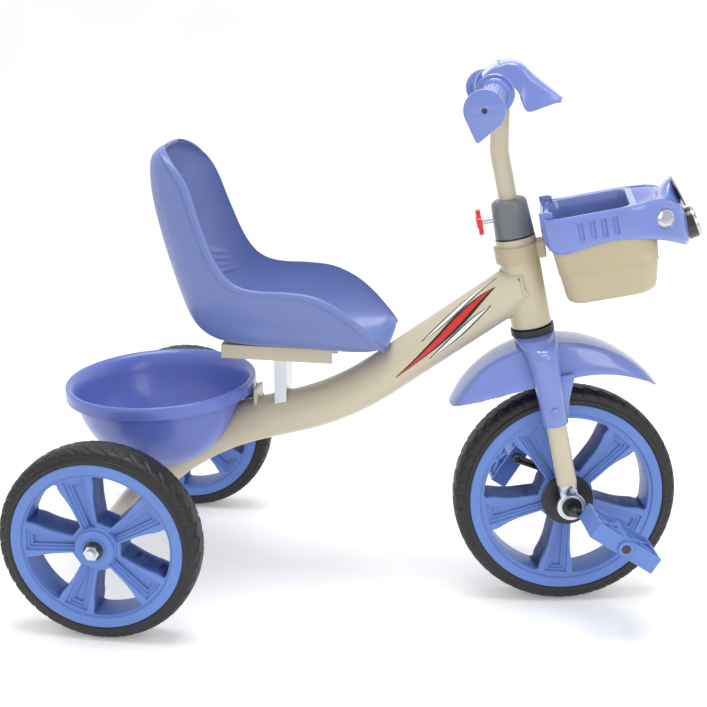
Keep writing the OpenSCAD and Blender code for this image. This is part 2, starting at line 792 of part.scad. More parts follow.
module crossbar() color(CREAM) at_bar() {
    crossbar_half(bar_r, -1);
    crossbar_half(bar_r, 1);
    translate([bar_u, 0, bar_w]) sphere(r = bar_r);
}

// A grip lies along Y, with its inner flange at y = 0 and its end plate at y = grip_len
module grip_form() difference() {
    union() {
        along_y(flange_r, 0, flange_t);
        along_y(grip_r, 0, grip_len);
        translate([0, grip_len, 0]) rotate([90, 0, 0]) linear_extrude(flange_t) hull() {
            circle(r = flange_r, $fn = 48);
            rotate([0, 0, -114]) translate([tail, 0]) circle(r = 2, $fn = SMOOTH);
        }
    }
    along_y(bar_r, -eps, grip_len - 8);
    along_y(2.5, 0, grip_len + eps);
}

module grip_left() color(BLUE) at_bar() bar_side(1) translate([0, grip_end_v - grip_len, 0]) grip_form();
module grip_right() color(BLUE) at_bar() bar_side(-1) mirror([0, 1, 0])
    translate([0, grip_end_v - grip_len, 0]) grip_form();

// Side view of the cowl over the crossbar's middle
module cowl_side(inset) offset(delta = -inset) polygon([
    [-3, 481], [8, 488], [16, 490], [27, 491], [40, 486], [50, 472], [62, 458], [75, 443], [73, 440],
    [36, 437], [33, 446], [32, 463], [26, 472], [20, 478], [10, 479]
]);

cowl_half = 36;

module cowl() color(BLUE) at_bar() difference() {
    rotate([90, 0, 0]) linear_extrude(2 * cowl_half, center = true) cowl_side(0);
    rotate([90, 0, 0]) linear_extrude(2 * cowl_half - 5, center = true) cowl_side(2.5);
    translate([bar_u - 14, -cowl_half + 2.5, 440]) cube([10, 2 * cowl_half - 5, 42]);
    crossbar_half(bar_r + sit_gap, -1);
    crossbar_half(bar_r + sit_gap, 1);
    translate([bar_u, 0, bar_w]) sphere(r = bar_r + sit_gap);
    rotate([90, 0, 0]) linear_extrude(2 * cowl_half - 5, center = true)
        polygon([[38.5, 430], [71, 430], [71, 443], [38.5, 441]]);
    cowl_screw_places() cylinder(r = 3.5 + sit_gap, h = 4);
}

module cowl_screw_places() for (v = [-20, 20]) translate([bar_u + 4, v, 489.2]) children();
module cowl_screws() color(ZINC) at_bar() cowl_screw_places() translate([0, 0, eps])
    cylinder(r = 3.5, h = 2);

// ---------- wheels ----------

// Rim: hub barrel, flared spokes with a tapered channel, and a flanged band for the tyre
module rim(r, width, hub_r, hub_half, bore) difference() {
    union() {
        rotate_extrude($fn = 128) {
            translate([r - rim_band - rim_wall, -width / 2]) square([rim_wall, width]);
            for (s = [-1, 1])
                translate([r - rim_band - eps, s * (width / 2 - rim_flange / 2) - rim_flange / 2])
                square([rim_band + eps, rim_flange]);
        }
        cylinder(r = hub_r, h = 2 * hub_half, center = true);
        for (i = [0 : spokes - 1]) rotate([0, 0, 360 * i / spokes]) spoke(r, width - 8, hub_r);
    }
    cylinder(r = bore, h = 3 * hub_half, center = true);
}

module spoke(r, thick, hub_r) {
    root = hub_r * 0.72;
    tip = sqrt(pow(r - rim_band - 0.5, 2) - pow(spoke_w / 2, 2)); // its corners end inside the band's wall
    difference() {
        linear_extrude(thick, center = true) polygon([
            [hub_r * 0.6, -root / 2], [tip - 24, -spoke_w * 0.36], [tip, -spoke_w / 2],
            [tip, spoke_w / 2], [tip - 24, spoke_w * 0.36], [hub_r * 0.6, root / 2]
        ]);
        for (s = [-1, 1]) translate([0, 0, s * thick / 2]) linear_extrude(8, center = true)
            polygon([[hub_r + 4, -3], [tip - 10, -8], [tip - 10, 8], [hub_r + 4, 3]]);
    }
}

// Tyre: a solid ring with round shoulders that wraps the rim's flanges
module tyre(r, rim_r, width) rotate_extrude($fn = 128) difference() {
    hull() for (s = [-1, 1]) {
        translate([r - 11, s * (width / 2 - 11)]) circle(r = 11);
        translate([rim_r - rim_band + 0.1, s * (width / 2 - 0.5) - 0.5]) square(1);
    }
    for (s = [-1, 1])
        translate([rim_r - 2 * rim_band + 0.1,
            s * (width / 2 - rim_flange / 2 + 0.05) - rim_flange / 2 - 0.1])
        square([2 * rim_band + 0.1, rim_flange + 0.3]);
}

// Wheels spin about Y: this lays a wheel that was drawn about Z on its side
module as_wheel(turn) rotate([90, 0, 0]) rotate([0, 0, turn]) children();

front_turn = 36;
rear_turn = 34;

module front_rim() color(BLUE) at_fork() as_wheel(front_turn)
    rim(front_rim_r, front_tyre_w, front_hub_r, front_hub_half, crank_r);
module front_tyre() color(BLACK) at_fork() as_wheel(0) tyre(front_tyre_r, front_rim_r, front_tyre_w);

// Black discs that drive the hub, with spacers out to the fork ends
module hub_discs() color(BLACK) at_fork() both_sides() difference() {
    union() {
        along_y(front_hub_r + 1, front_hub_half, front_hub_half + hub_disc_t);
        along_y(crank_r + 5, front_hub_half, leg_v - end_t / 2 - 0.5);
    }
    along_y(crank_r, front_hub_half - eps, leg_v);
}

// One bent rod: axle, two opposite arms and two spindles
module crank() color(BLACK) at_fork() {
    along_y(crank_r, -arm_v, arm_v);
    for (side = [-1, 1]) rotate([0, side < 0 ? crank_angle : 180 + crank_angle, 0])
        translate([0, side * arm_v, 0]) {
        sphere(r = crank_r + 0.6);
        rotate([0, 90, 0]) cylinder(r = crank_r, h = crank_throw);
        translate([crank_throw, 0, 0]) sphere(r = crank_r + 0.6);
        translate([crank_throw, 0, 0]) rotate([side < 0 ? 90 : -90, 0, 0])
            cylinder(r = crank_r, h = spindle_v + cap_t - arm_v);
    }
}

// Moves its children, drawn about Y at v = 0, to a pedal's spindle
module at_spindle(side) at_fork() rotate([0, side < 0 ? crank_angle : 180 + crank_angle, 0])
    translate([crank_throw, 0, 0]) rotate([0, side < 0 ? -crank_angle : -180 - crank_angle, 0]) children();

module pedal_caps() color(ZINC) for (side = [-1, 1]) at_spindle(side) difference() {
    along_y(crank_r + 3.5, side < 0 ? -spindle_v - cap_t : spindle_v + 0.4, side < 0
        ? -spindle_v - 0.4 : spindle_v + cap_t);
    along_y(crank_r, -far / 2, far / 2);
}

// Open frame with end walls, two long treads and a ribbed middle around the spindle's tube
module pedal(side) color(BLUE) at_spindle(side) rotate([0, side < 0 ? pedal_tilt : -pedal_tilt, 0])
    translate([0, side * (pedal_v + pedal_w / 2), 0]) difference() {
        union() {
            difference() {
                cube([pedal_len, pedal_w, pedal_t], center = true);
                cube([pedal_len - 6, pedal_w - 6, pedal_t + 1], center = true);
            }
            along_y(crank_r + 4, -pedal_w / 2, pedal_w / 2);
            cube([pedal_len - 2, 3, pedal_t - 5], center = true);
            for (s = [-1, 1], b = [0, 1]) mirror([0, b, 0]) translate([s * pedal_len / 4, 0, 0])
                rotate([0, 0, s * 52]) cube([3, pedal_w * 0.72, pedal_t - 3], center = true);
        }
        along_y(crank_r + run_gap, -pedal_w, pedal_w);
    }

module pedal_right() pedal(-1);
module pedal_left() pedal(1);

module at_rear_wheel(side) at_rear_axle() translate([0, side * wheel_y, 0]) children();

rear_bore = rear_axle_r + 2.5;

module rear_rim(side) color(BLUE) at_rear_wheel(side) as_wheel(rear_turn)
    rim(rear_rim_r, rear_tyre_w, rear_hub_r, rear_hub_half, rear_bore);
module rear_tyre(side) color(BLACK) at_rear_wheel(side) as_wheel(0)
    tyre(rear_tyre_r, rear_rim_r, rear_tyre_w);

// Domed cap on the outside of the hub
module hub_cap(side) color(BLUE) at_rear_wheel(side) mirror([0, side < 0 ? 1 : 0, 0])
    translate([0, rear_hub_half, 0])
    rotate([-90, 0, 0]) difference() {
        union() {
            cylinder(r = rear_hub_r + 1, h = hub_cap_t - 2);
            cylinder(r = nut_r + 4, h = hub_cap_t - cap_gap);
        }
        translate([0, 0, -eps]) cylinder(r = rear_bore, h = hub_cap_t);
    }

// Nylon bush that runs on the axle
module wheel_bushes(side) color(BLACK) at_rear_wheel(side) difference() {
    along_y(rear_bore, -rear_hub_half, rear_hub_half);
    along_y(rear_axle_r + run_gap, -far / 2, far / 2);
}

module rear_rim_right() rear_rim(-1);
module rear_rim_left() rear_rim(1);
module rear_tyre_right() rear_tyre(-1);
module rear_tyre_left() rear_tyre(1);
module hub_cap_right() hub_cap(-1);
module hub_cap_left() hub_cap(1);
module wheel_bushes_right() wheel_bushes(-1);
module wheel_bushes_left() wheel_bushes(1);

// ---------- all the nodes ----------

main_tube();
head_tube();
rear_cross_tube();
seat_rail();
seat_upright();
seat_bolts();
seat();
seat_badge();
bowl();
bowl_bolts();
bowl_lug();
head_bushes();
rear_axle();
axle_plugs();
axle_washers();
axle_nuts();
basket_collar();
basket_tub();
basket_trim();
windscreen();
nose_lamp();
side_badges();
basket_screws();
steerer();
fork_crown();
fork_leg_right();
fork_leg_left();
fork_end_right();
fork_end_left();
fork_bushes();
crown_ring();
fender();
fender_screws();
stem_sleeve();
clamp_nut();
stem();
crossbar();
grip_right();
grip_left();
cowl();
cowl_screws();
clamp_screw();
clamp_knob();
front_rim();
front_tyre();
hub_discs();
crank();
pedal_caps();
pedal_right();
pedal_left();
rear_rim_right();
rear_tyre_right();
hub_cap_right();
wheel_bushes_right();
rear_rim_left();
rear_tyre_left();
hub_cap_left();
wheel_bushes_left();
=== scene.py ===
import json
import math

import bmesh
import bpy
from mathutils import Matrix, Vector


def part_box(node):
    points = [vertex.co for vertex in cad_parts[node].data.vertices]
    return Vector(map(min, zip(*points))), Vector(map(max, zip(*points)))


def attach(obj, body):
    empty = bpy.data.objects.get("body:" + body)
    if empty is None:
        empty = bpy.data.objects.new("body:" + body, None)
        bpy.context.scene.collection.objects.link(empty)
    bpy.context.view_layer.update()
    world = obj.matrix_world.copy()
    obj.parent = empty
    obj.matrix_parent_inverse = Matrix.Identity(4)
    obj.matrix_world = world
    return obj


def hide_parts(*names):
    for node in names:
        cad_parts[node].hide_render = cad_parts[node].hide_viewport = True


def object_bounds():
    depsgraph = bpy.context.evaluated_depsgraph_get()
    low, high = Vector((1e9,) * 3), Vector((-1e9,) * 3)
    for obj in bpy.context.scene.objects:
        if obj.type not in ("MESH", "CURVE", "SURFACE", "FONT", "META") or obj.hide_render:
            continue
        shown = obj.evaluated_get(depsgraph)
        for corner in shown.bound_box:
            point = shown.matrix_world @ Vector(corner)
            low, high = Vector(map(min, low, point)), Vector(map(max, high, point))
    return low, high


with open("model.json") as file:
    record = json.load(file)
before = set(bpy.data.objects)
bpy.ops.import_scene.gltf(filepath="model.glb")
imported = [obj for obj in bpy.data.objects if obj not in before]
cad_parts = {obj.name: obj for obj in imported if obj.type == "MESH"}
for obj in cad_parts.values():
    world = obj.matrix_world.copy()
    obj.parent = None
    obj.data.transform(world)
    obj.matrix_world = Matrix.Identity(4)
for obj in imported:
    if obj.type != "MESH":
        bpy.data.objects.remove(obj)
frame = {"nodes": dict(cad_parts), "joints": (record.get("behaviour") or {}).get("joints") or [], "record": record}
cad_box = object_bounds()

# Sizes below are in millimetres, in the local frames of the next section.
# +u points forwards, +v to the rider's left and +w up the steering axis.

# ---------- places ----------

MM = Matrix.Scale(0.001, 4)
joints = {joint["name"]: joint for joint in frame["joints"]}


def axes(origin, forward, left, up):
    """Matrix of a local frame, given in metres."""
    place = Matrix((forward, left, up)).transposed().to_4x4()
    place.translation = origin
    return place


front_axle = Vector(joints["steering"]["pos_m"])
steering_axis = Vector(joints["steering"]["axis"]).normalized()
wheel_axis = Vector(joints["front_wheel_spin"]["axis"]).normalized()
across = Vector((0, 1, 0))
rear_axle = Vector(joints["right_wheel_spin"]["pos_m"])
rear_axle.y = 0
wheel_y = abs(joints["right_wheel_spin"]["pos_m"][1]) * 1000

HEAD = axes(front_axle, across.cross(steering_axis), across, steering_axis)
FORK = axes(front_axle, wheel_axis.cross(steering_axis), wheel_axis, steering_axis)
BAR_TURN = 3
BAR = HEAD @ Matrix.Rotation(math.radians(BAR_TURN), 4, "Z")
REAR = Matrix.Translation(rear_axle)
UPRIGHT = Matrix.Rotation(math.radians(90), 4, "X")  # lays a wheel drawn about Z on its side


def shift(x, y, z):
    """Move in millimetres, for use to the right of a place."""
    return Matrix.Translation((x * 0.001, y * 0.001, z * 0.001))


def turn(degrees, axis):
    return Matrix.Rotation(math.radians(degrees), 4, axis)


# ---------- curves through listed values ----------


def blend_list(values, t):
    """Smooth curve through a list of numbers or tuples, from t = 0 to t = 1."""
    last = len(values) - 1
    i = min(last - 1, int(t * last))
    k = t * last - i
    four = [values[max(0, i - 1)], values[i], values[i + 1], values[min(last, i + 2)]]
    if not isinstance(values[0], tuple):
        a, b, c, d = four
        return b + 0.5 * k * (c - a + k * (2 * a - 5 * b + 4 * c - d + k * (3 * (b - c) + d - a)))
    return tuple(blend_list([p[n] for p in values], t) for n in range(len(values[0])))


def table(pairs, x):
    """Straight lines between (x, y) pairs that are sorted by x."""
    if x <= pairs[0][0]:
        return pairs[0][1]
    for (x0, y0), (x1, y1) in zip(pairs, pairs[1:]):
        if x <= x1:
            return y0 + (y1 - y0) * (x - x0) / (x1 - x0)
    return pairs[-1][1]


def smooth_step(low, high, x):
    k = min(1.0, max(0.0, (x - low) / (high - low)))
    return k * k * (3 - 2 * k)


# ---------- meshes ----------


def grid_mesh(rows, loop_rows=False, loop_columns=False, close_ends=False):
    """Quads between rows of points. Loops join the last row or column to the first."""
    height, width = len(rows), len(rows[0])
    points = [p for row in rows for p in row]
    faces = []
    for i in range(height if loop_rows else height - 1):
        for j in range(width if loop_columns else width - 1):
            i1, j1 = (i + 1) % height, (j + 1) % width
            faces.append((i * width + j, i * width + j1, i1 * width + j1, i1 * width + j))
    if close_ends:
        faces.append(tuple(range(width)))
        faces.append(tuple(range((height - 1) * width, height * width)))
    mesh = bpy.data.meshes.new("grid")
    mesh.from_pydata(points, [], faces)
    return mesh


def lathe(profile, steps, loop=True):
    """A profile of (radius, height) points turned about Z."""
    rows = []
    for i in range(steps):
        a = 2 * math.pi * i / steps
        rows.append([(r * math.cos(a), r * math.sin(a), h) for r, h in profile])
    return grid_mesh(rows, loop_rows=True, loop_columns=loop)


def both_ways(half):
    """A profile's upper half, from the inside to the middle of the crown, and its mirror image."""
    return half + [(r, -h) for r, h in reversed(half) if h > 0]


def plain_mesh(thing):
    """The evaluated mesh of an object, which is then removed."""
    bpy.context.scene.collection.objects.link(thing)
    bpy.context.view_layer.update()
    graph = bpy.context.evaluated_depsgraph_get()
    mesh = bpy.data.meshes.new_from_object(thing.evaluated_get(graph))
    bpy.data.objects.remove(thing)
    return mesh


def plate(outline, holes, half, edge):
    """A flat plate about z = 0 with rounded edges, from outlines of (x, y) points."""
    curve = bpy.data.curves.new("plate", "CURVE")
    curve.dimensions = "2D"
    curve.fill_mode = "BOTH"
    curve.extrude = half - edge
    curve.bevel_depth = edge
    curve.bevel_resolution = 1
    curve.offset = -edge
    for loop in [outline, *holes]:
        line = curve.splines.new("POLY")
        line.points.add(len(loop) - 1)
        for point, (x, y) in zip(line.points, loop):
            point.co = (x, y, 0, 1)
        line.use_cyclic_u = True
    return plain_mesh(bpy.data.objects.new("plate", curve))


def thicken(mesh, thickness, offset=-1.0, even=True):
    """Gives an open shell a wall. An offset of 1 puts it outside the shell, and -1 inside."""
    thing = bpy.data.objects.new("shell", mesh)
    clean(mesh)
    wall = thing.modifiers.new("wall", "SOLIDIFY")
    wall.thickness = thickness
    wall.offset = offset
    wall.use_even_offset = even
    wall.use_quality_normals = even
    return plain_mesh(thing)


def clean(mesh):
    """Merges doubled points and points the faces outwards."""
    work = bmesh.new()
    work.from_mesh(mesh)
    bmesh.ops.remove_doubles(work, verts=work.verts, dist=0.001)
    bmesh.ops.dissolve_degenerate(work, edges=work.edges, dist=0.0005)
    bmesh.ops.recalc_face_normals(work, faces=work.faces)
    work.to_mesh(mesh)
    work.free()


def circle(radius, steps):
    angles = [2 * math.pi * i / steps for i in range(steps)]
    return [(radius * math.cos(a), radius * math.sin(a)) for a in angles]


def arc(x, y, radius, first, last, steps):
    """Points on part of a circle about (x, y), between two angles in degrees."""
    angles = [math.radians(first + (last - first) * n / steps) for n in range(steps + 1)]
    return [(x + radius * math.cos(a), y + radius * math.sin(a)) for a in angles]


def make(name, parts, body, material, hides=(), sharp=32, fix_normals=True):
    """Joins (mesh, place) pairs in millimetres into one piece that rides on a body."""
    work = bmesh.new()
    for mesh, place in parts:
        copy = mesh.copy()
        if fix_normals:
            clean(copy)
        copy.transform(place @ MM)
        work.from_mesh(copy)
        bpy.data.meshes.remove(copy)
    mesh = bpy.data.meshes.new(name)
    work.to_mesh(mesh)
    work.free()
    mesh.materials.clear()
    mesh.materials.append(material)
    mesh.polygons.foreach_set("material_index", [0] * len(mesh.polygons))
    mesh.shade_smooth()
    mesh.set_sharp_from_angle(angle=math.radians(sharp))
    thing = bpy.data.objects.new(name, mesh)
    bpy.context.scene.collection.objects.link(thing)
    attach(thing, body)
    if hides:
        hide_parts(*hides)
    return thing


# ---------- materials ----------


def new_material(name):
    material = bpy.data.materials.new(name)
    material.use_nodes = True
    nodes = material.node_tree.nodes
    return material, nodes, material.node_tree.links, nodes["Principled BSDF"]


def noise(nodes, links, coords, scale, detail=2.0, rough=0.5):
    node = nodes.new("ShaderNodeTexNoise")
    node.inputs["Scale"].default_value = scale
    node.inputs["Detail"].default_value = detail
    node.inputs["Roughness"].default_value = rough
    links.new(coords, node.inputs["Vector"])
    return node.outputs["Fac"]


def ramp(nodes, links, value, low, high, a, b):
    """Colours from a to b as the value goes from low to high."""
    node = nodes.new("ShaderNodeValToRGB")
    node.color_ramp.elements[0].position = low
    node.color_ramp.elements[0].color = (*a, 1)
    node.color_ramp.elements[1].position = high
    node.color_ramp.elements[1].color = (*b, 1)
    links.new(value, node.inputs["Fac"])
    return node.outputs["Color"]


SOFT_EDGE = 0.0008  # metres
GRAIN_HEIGHT = 0.0004
COAT_ROUGH = 0.08


def finish(name, colour, spread=0.05, rough=0.3, rough_spread=0.06, grain=900.0, bump=0.05,
           metallic=0.0, coat=0.0, mottle=18.0):
    """A finish with mottled colour, uneven gloss, fine grain and softened edges."""
    material, nodes, links, shader = new_material(name)
    coords = nodes.new("ShaderNodeTexCoord").outputs["Object"]
    dark = tuple(c * (1 - spread) for c in colour)
    light = tuple(min(1.0, c * (1 + spread)) for c in colour)
    cloud = noise(nodes, links, coords, mottle, 4.0, 0.6)
    links.new(ramp(nodes, links, cloud, 0.3, 0.7, dark, light), shader.inputs["Base Color"])
    wear = nodes.new("ShaderNodeMapRange")
    wear.inputs["To Min"].default_value = rough - rough_spread
    wear.inputs["To Max"].default_value = rough + rough_spread
    links.new(noise(nodes, links, coords, mottle * 6, 3.0), wear.inputs["Value"])
    links.new(wear.outputs["Result"], shader.inputs["Roughness"])
    shader.inputs["Metallic"].default_value = metallic
    shader.inputs["Coat Weight"].default_value = coat
    shader.inputs["Coat Roughness"].default_value = COAT_ROUGH
    soft = nodes.new("ShaderNodeBevel")
    soft.samples = 4
    soft.inputs["Radius"].default_value = SOFT_EDGE
    skin = nodes.new("ShaderNodeBump")
    skin.inputs["Strength"].default_value = bump
    skin.inputs["Distance"].default_value = GRAIN_HEIGHT
    links.new(noise(nodes, links, coords, grain, 2.0), skin.inputs["Height"])
    links.new(soft.outputs["Normal"], skin.inputs["Normal"])
    links.new(skin.outputs["Normal"], shader.inputs["Normal"])
    return material


blue_gloss = finish("blue gloss plastic", (0.150, 0.212, 0.560), 0.03, 0.22, 0.04, 260, 0.04, coat=0.9)
# The bowl's blue is darker than the other blue plastic: painted shade standing in for the shade inside the bowl.
bowl_blue_with_painted_shade = finish("bowl blue plastic with painted shade", (0.115, 0.165, 0.500), 0.03, 0.30, 0.05, 500, 0.08, coat=0.25)
blue_satin = finish("blue satin plastic", (0.140, 0.192, 0.450), 0.03, 0.36, 0.05, 700, 0.10, coat=0.10)
blue_wheel = finish("blue wheel plastic", (0.115, 0.215, 0.560), 0.04, 0.42, 0.06, 600, 0.12)
cream_paint = finish("cream powder paint", (0.560, 0.500, 0.365), 0.015, 0.32, 0.015, 420, 0.05, coat=0.25)
cream_plastic = finish("cream plastic", (0.490, 0.420, 0.275), 0.03, 0.42, 0.05, 500, 0.08)
black_plastic = finish("black plastic", (0.016, 0.016, 0.018), 0.25, 0.42, 0.08, 600, 0.12)
black_enamel = finish("black enamel", (0.012, 0.012, 0.013), 0.25, 0.22, 0.06, 300, 0.10, coat=0.4)
foam_tyre = finish("foam tyre", (0.009, 0.009, 0.010), 0.30, 0.50, 0.08, 1400, 0.25, mottle=30)
grey_plastic = finish("grey plastic", (0.150, 0.165, 0.180), 0.04, 0.34, 0.05, 500, 0.10, coat=0.1)
red_plastic = finish("red plastic", (0.700, 0.010, 0.020), 0.05, 0.28, 0.04, 300, 0.05, coat=0.4)
zinc_plate = finish("zinc plate", (0.560, 0.600, 0.640), 0.06, 0.30, 0.05, 900, 0.05,
                    metallic=1.0, mottle=30)
chrome_plate = finish("chrome plate", (0.560, 0.575, 0.600), 0.05, 0.09, 0.03, 200, 0.03,
                      metallic=1.0)
smoke_screen = finish("smoked screen", (0.020, 0.022, 0.028), 0.2, 0.12, 0.03, 200, 0.02, coat=0.6)

BY_SLOT = {
    "cream_paint": cream_paint, "blue_plastic": blue_gloss, "cream_plastic": cream_plastic,
    "black_plastic": black_plastic, "grey_plastic": grey_plastic, "red_plastic": red_plastic,
    "zinc_steel": zinc_plate, "chrome_trim": chrome_plate, "black_steel": black_enamel,
    "eva_tyre": foam_tyre,
}
BY_NODE = {
    "front_rim": blue_wheel, "rear_rim_right": blue_wheel, "rear_rim_left": blue_wheel,
    "hub_cap_right": blue_wheel, "hub_cap_left": blue_wheel, "seat": blue_satin,
    "pedal_right": blue_wheel, "pedal_left": blue_wheel, "windscreen": smoke_screen,
    "axle_washers": black_enamel, "seat_upright": zinc_plate, "fender_screws": blue_gloss,
    "pedal_caps": blue_wheel,
}
for part in frame["record"]["subparts"]:
    node = frame["nodes"][part["node"]]
    node.data.materials.clear()
    node.data.materials.append(BY_NODE.get(part["node"], BY_SLOT[part["material_slot"]]))

# ---------- wheels ----------

SPOKES = 5
SPOKE_FOOT = 20.5  # half width of a spoke where it meets the rim


def spoke_edge(r, rim_inner):
    """Half width of a spoke at radius r."""
    return table([(20, 8.5), (rim_inner - 34, 12.5), (rim_inner - 22, 15.5), (rim_inner - 12, 19.5),
                  (rim_inner, SPOKE_FOOT)], r)


def wheel_point(r, side, spoke_angle):
    """Point at radius r along a spoke, set off sideways."""
    c, s = math.cos(spoke_angle), math.sin(spoke_angle)
    return (r * c - side * s, r * s + side * c)


def window(rim_inner, hub_r, k, start):
    """Outline of the hole between spoke k and the next one."""
    a0 = start + 2 * math.pi * k / SPOKES
    a1 = a0 + 2 * math.pi / SPOKES
    reach = [hub_r + 3 + (rim_inner - 4 - hub_r - 3) * n / 9 for n in range(10)]
    first = [wheel_point(r, spoke_edge(r, rim_inner), a0) for r in reach]
    second = [wheel_point(r, -spoke_edge(r, rim_inner), a1) for r in reversed(reach)]
    swing = math.asin(SPOKE_FOOT / rim_inner) + 0.04
    outer = []
    for n in range(13):
        a = a0 + swing + (a1 - a0 - 2 * swing) * n / 12
        outer.append((rim_inner * math.cos(a), rim_inner * math.sin(a)))
    return first + outer + second


def channel(rim_inner, hub_r, k, start, wide, narrow, end):
    """Outline of the tapered recess along spoke k."""
    a = start + 2 * math.pi * k / SPOKES
    low, high = hub_r - 4, rim_inner - end
    return [wheel_point(low, -narrow, a), wheel_point(high, -wide, a),
            wheel_point(high, wide, a), wheel_point(low, narrow, a)]


def rim_parts(rim_r, width, hub_r, hub_half, band, start):
    """Stacked plates make the spokes, and turned rings make the band and the hub."""
    half = width / 2
    inner = rim_r - band
    disc = circle(inner + 1.5, 144)
    holes = [window(inner, hub_r, k, start) for k in range(SPOKES)]
    wide = [channel(inner, hub_r, k, start, 12.5, 6.2, 3) for k in range(SPOKES)]
    slim = [channel(inner, hub_r, k, start, 8.2, 3.2, 6) for k in range(SPOKES)]
    deep = [channel(inner, hub_r, k, start, 5.0, 0.8, 9) for k in range(SPOKES)]
    ring = both_ways([
        (inner - 0.5, 0), (inner, half - 5), (inner + 0.4, half - 2.6), (inner + 1.2, half - 2.0),
        (rim_r - 12, half - 2.0), (rim_r - 11.3, half - 0.4), (rim_r - 10.7, half), (rim_r - 0.8, half),
        (rim_r - 0.1, half - 0.7), (rim_r, half - 3.9), (rim_r - 11, half - 4.0), (rim_r - 12, 0),
    ])
    hub = both_ways([
        (7.0, 0), (7.0, hub_half - 0.6), (7.6, hub_half), (hub_r - 2.2, hub_half),
        (hub_r - 0.8, hub_half - 0.6), (hub_r, hub_half - 2.0), (hub_r, 0),
    ])
    return [
        plate(disc, holes + wide, half - 1.8, 0.7),
        plate(disc, holes + slim, half - 4.2, 0.6),
        plate(disc, holes + deep, half - 6.0, 0.5),
        plate(disc, holes, half - 8.6, 0.5),
        lathe(ring, 144),
        lathe(hub, 72),
    ]


def tyre_mesh(tyre_r, rim_r, width, lugs):
    """A ring with a smooth sidewall and a tread of curved lugs."""
    half = width / 2
    shoulder_r, shoulder_h = rim_r + 6.8, half - 1.6
    side = [
        (rim_r - 11.6, 0), (rim_r - 11.6, half - 4.3), (rim_r + 0.15, half - 4.3),
        (rim_r + 0.15, half - 0.7), (rim_r + 0.9, half), (rim_r + 4.4, half), (rim_r + 5.4, half - 0.5),
        (rim_r + 5.9, half - 1.5), (shoulder_r, shoulder_h),
    ]
    # The third value is 1 at the shoulder and 0 on the sidewall and at the crown's middle.
    half_line = [(r, h, 0.0) for r, h in side]
    crown_steps = 18
    for n in range(1, crown_steps + 1):
        a = math.radians(90 * n / crown_steps)
        half_line.append((shoulder_r + (tyre_r - shoulder_r) * math.sin(a) ** 0.72,
                          shoulder_h * math.cos(a) ** 0.62 if n < crown_steps else 0.0,
                          1 - n / crown_steps))
    line = half_line + [(r, -h, k) for r, h, k in reversed(half_line) if h > 0]
    tread_from = len(side)
    rows = []
    steps = lugs * 12
    for i in range(steps):
        a = 2 * math.pi * i / steps
        row = []
        for n, (r, h, k) in enumerate(line):
            sunk = 0.0
            if tread_from <= n < len(line) - tread_from:
                lug = lugs * a / (2 * math.pi)
                lean = 0.55 * math.sin(math.pi * k) * (1 if h >= 0 else -1) + 0.5 * (h < 0)
                across_lug = abs(((lug + lean + 0.9 * k * k) % 1.0) - 0.5) * 2
                cross = smooth_step(0.72, 0.92, across_lug) * smooth_step(0.02, 0.14, k)
                wave = abs(k - 0.30 - 0.10 * math.sin(2 * math.pi * lug))
                ring_cut = 1 - smooth_step(0.03, 0.07, wave)
                sunk = 1.3 * max(cross, 0.8 * ring_cut)
            row.append(((r - sunk) * math.cos(a), (r - sunk) * math.sin(a), h * (1 - sunk * 0.02)))
        rows.append(row)
    return grid_mesh(rows, loop_rows=True, loop_columns=True)


FRONT_SPOKE = math.radians(36)
REAR_SPOKE = math.radians(34)
front_wheel_place = FORK @ UPRIGHT
front_rim_parts = rim_parts(rim_r=110, width=42, hub_r=28, hub_half=22, band=16, start=FRONT_SPOKE)
make("front_wheel_rim", [(mesh, front_wheel_place) for mesh in front_rim_parts], "front_wheel",
     blue_wheel, ["front_rim"], sharp=28)
front_tyre = tyre_mesh(tyre_r=127, rim_r=110, width=42, lugs=46)
make("front_wheel_tyre", [(front_tyre, front_wheel_place)], "front_wheel",
     foam_tyre, ["front_tyre"], sharp=50)
rear_rim_parts = rim_parts(rim_r=94, width=38, hub_r=23, hub_half=20, band=14, start=REAR_SPOKE)
rear_tyre = tyre_mesh(tyre_r=110, rim_r=94, width=38, lugs=40)
for side, word in ((-1, "right"), (1, "left")):
    place = REAR @ shift(0, side * wheel_y, 0) @ UPRIGHT
    make(f"rear_wheel_rim_{word}", [(mesh, place) for mesh in rear_rim_parts], f"{word}_wheel",
         blue_wheel, [f"rear_rim_{word}"], sharp=28)
    make(f"rear_wheel_tyre_{word}", [(rear_tyre, place)], f"{word}_wheel",
         foam_tyre, [f"rear_tyre_{word}"], sharp=50)

# ---------- seat ----------

seat_back_x = rear_axle.x * 1000 + 18
seat_base_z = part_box("seat")[0][2] * 1000
SEAT_MID = [
    (20, 224), (4, 210), (3, 172), (13, 126), (23, 91), (34, 57), (45, 30), (62, 12), (88, 3.5),
    (132, 1), (180, 1), (226, 1), (252, 5), (269, 14),
]
SEAT_RIM = [
    (20, 224.5), (37, 211), (54, 188), (69, 147), (83, 113), (96, 93), (111, 82.5), (132, 78.5),
    (162, 78.5), (192, 75.5), (219, 64), (240, 48), (258, 30), (270, 18),
]
SEAT_WIDE = 70.5
GROOVE_DEPTH = 0.9
SEAT_SHARE = [0.0, 0.60, 0.84, 0.93, 0.965, 0.985, 1, 1, 1, 1, 0.99, 0.965, 0.90, 0.72]


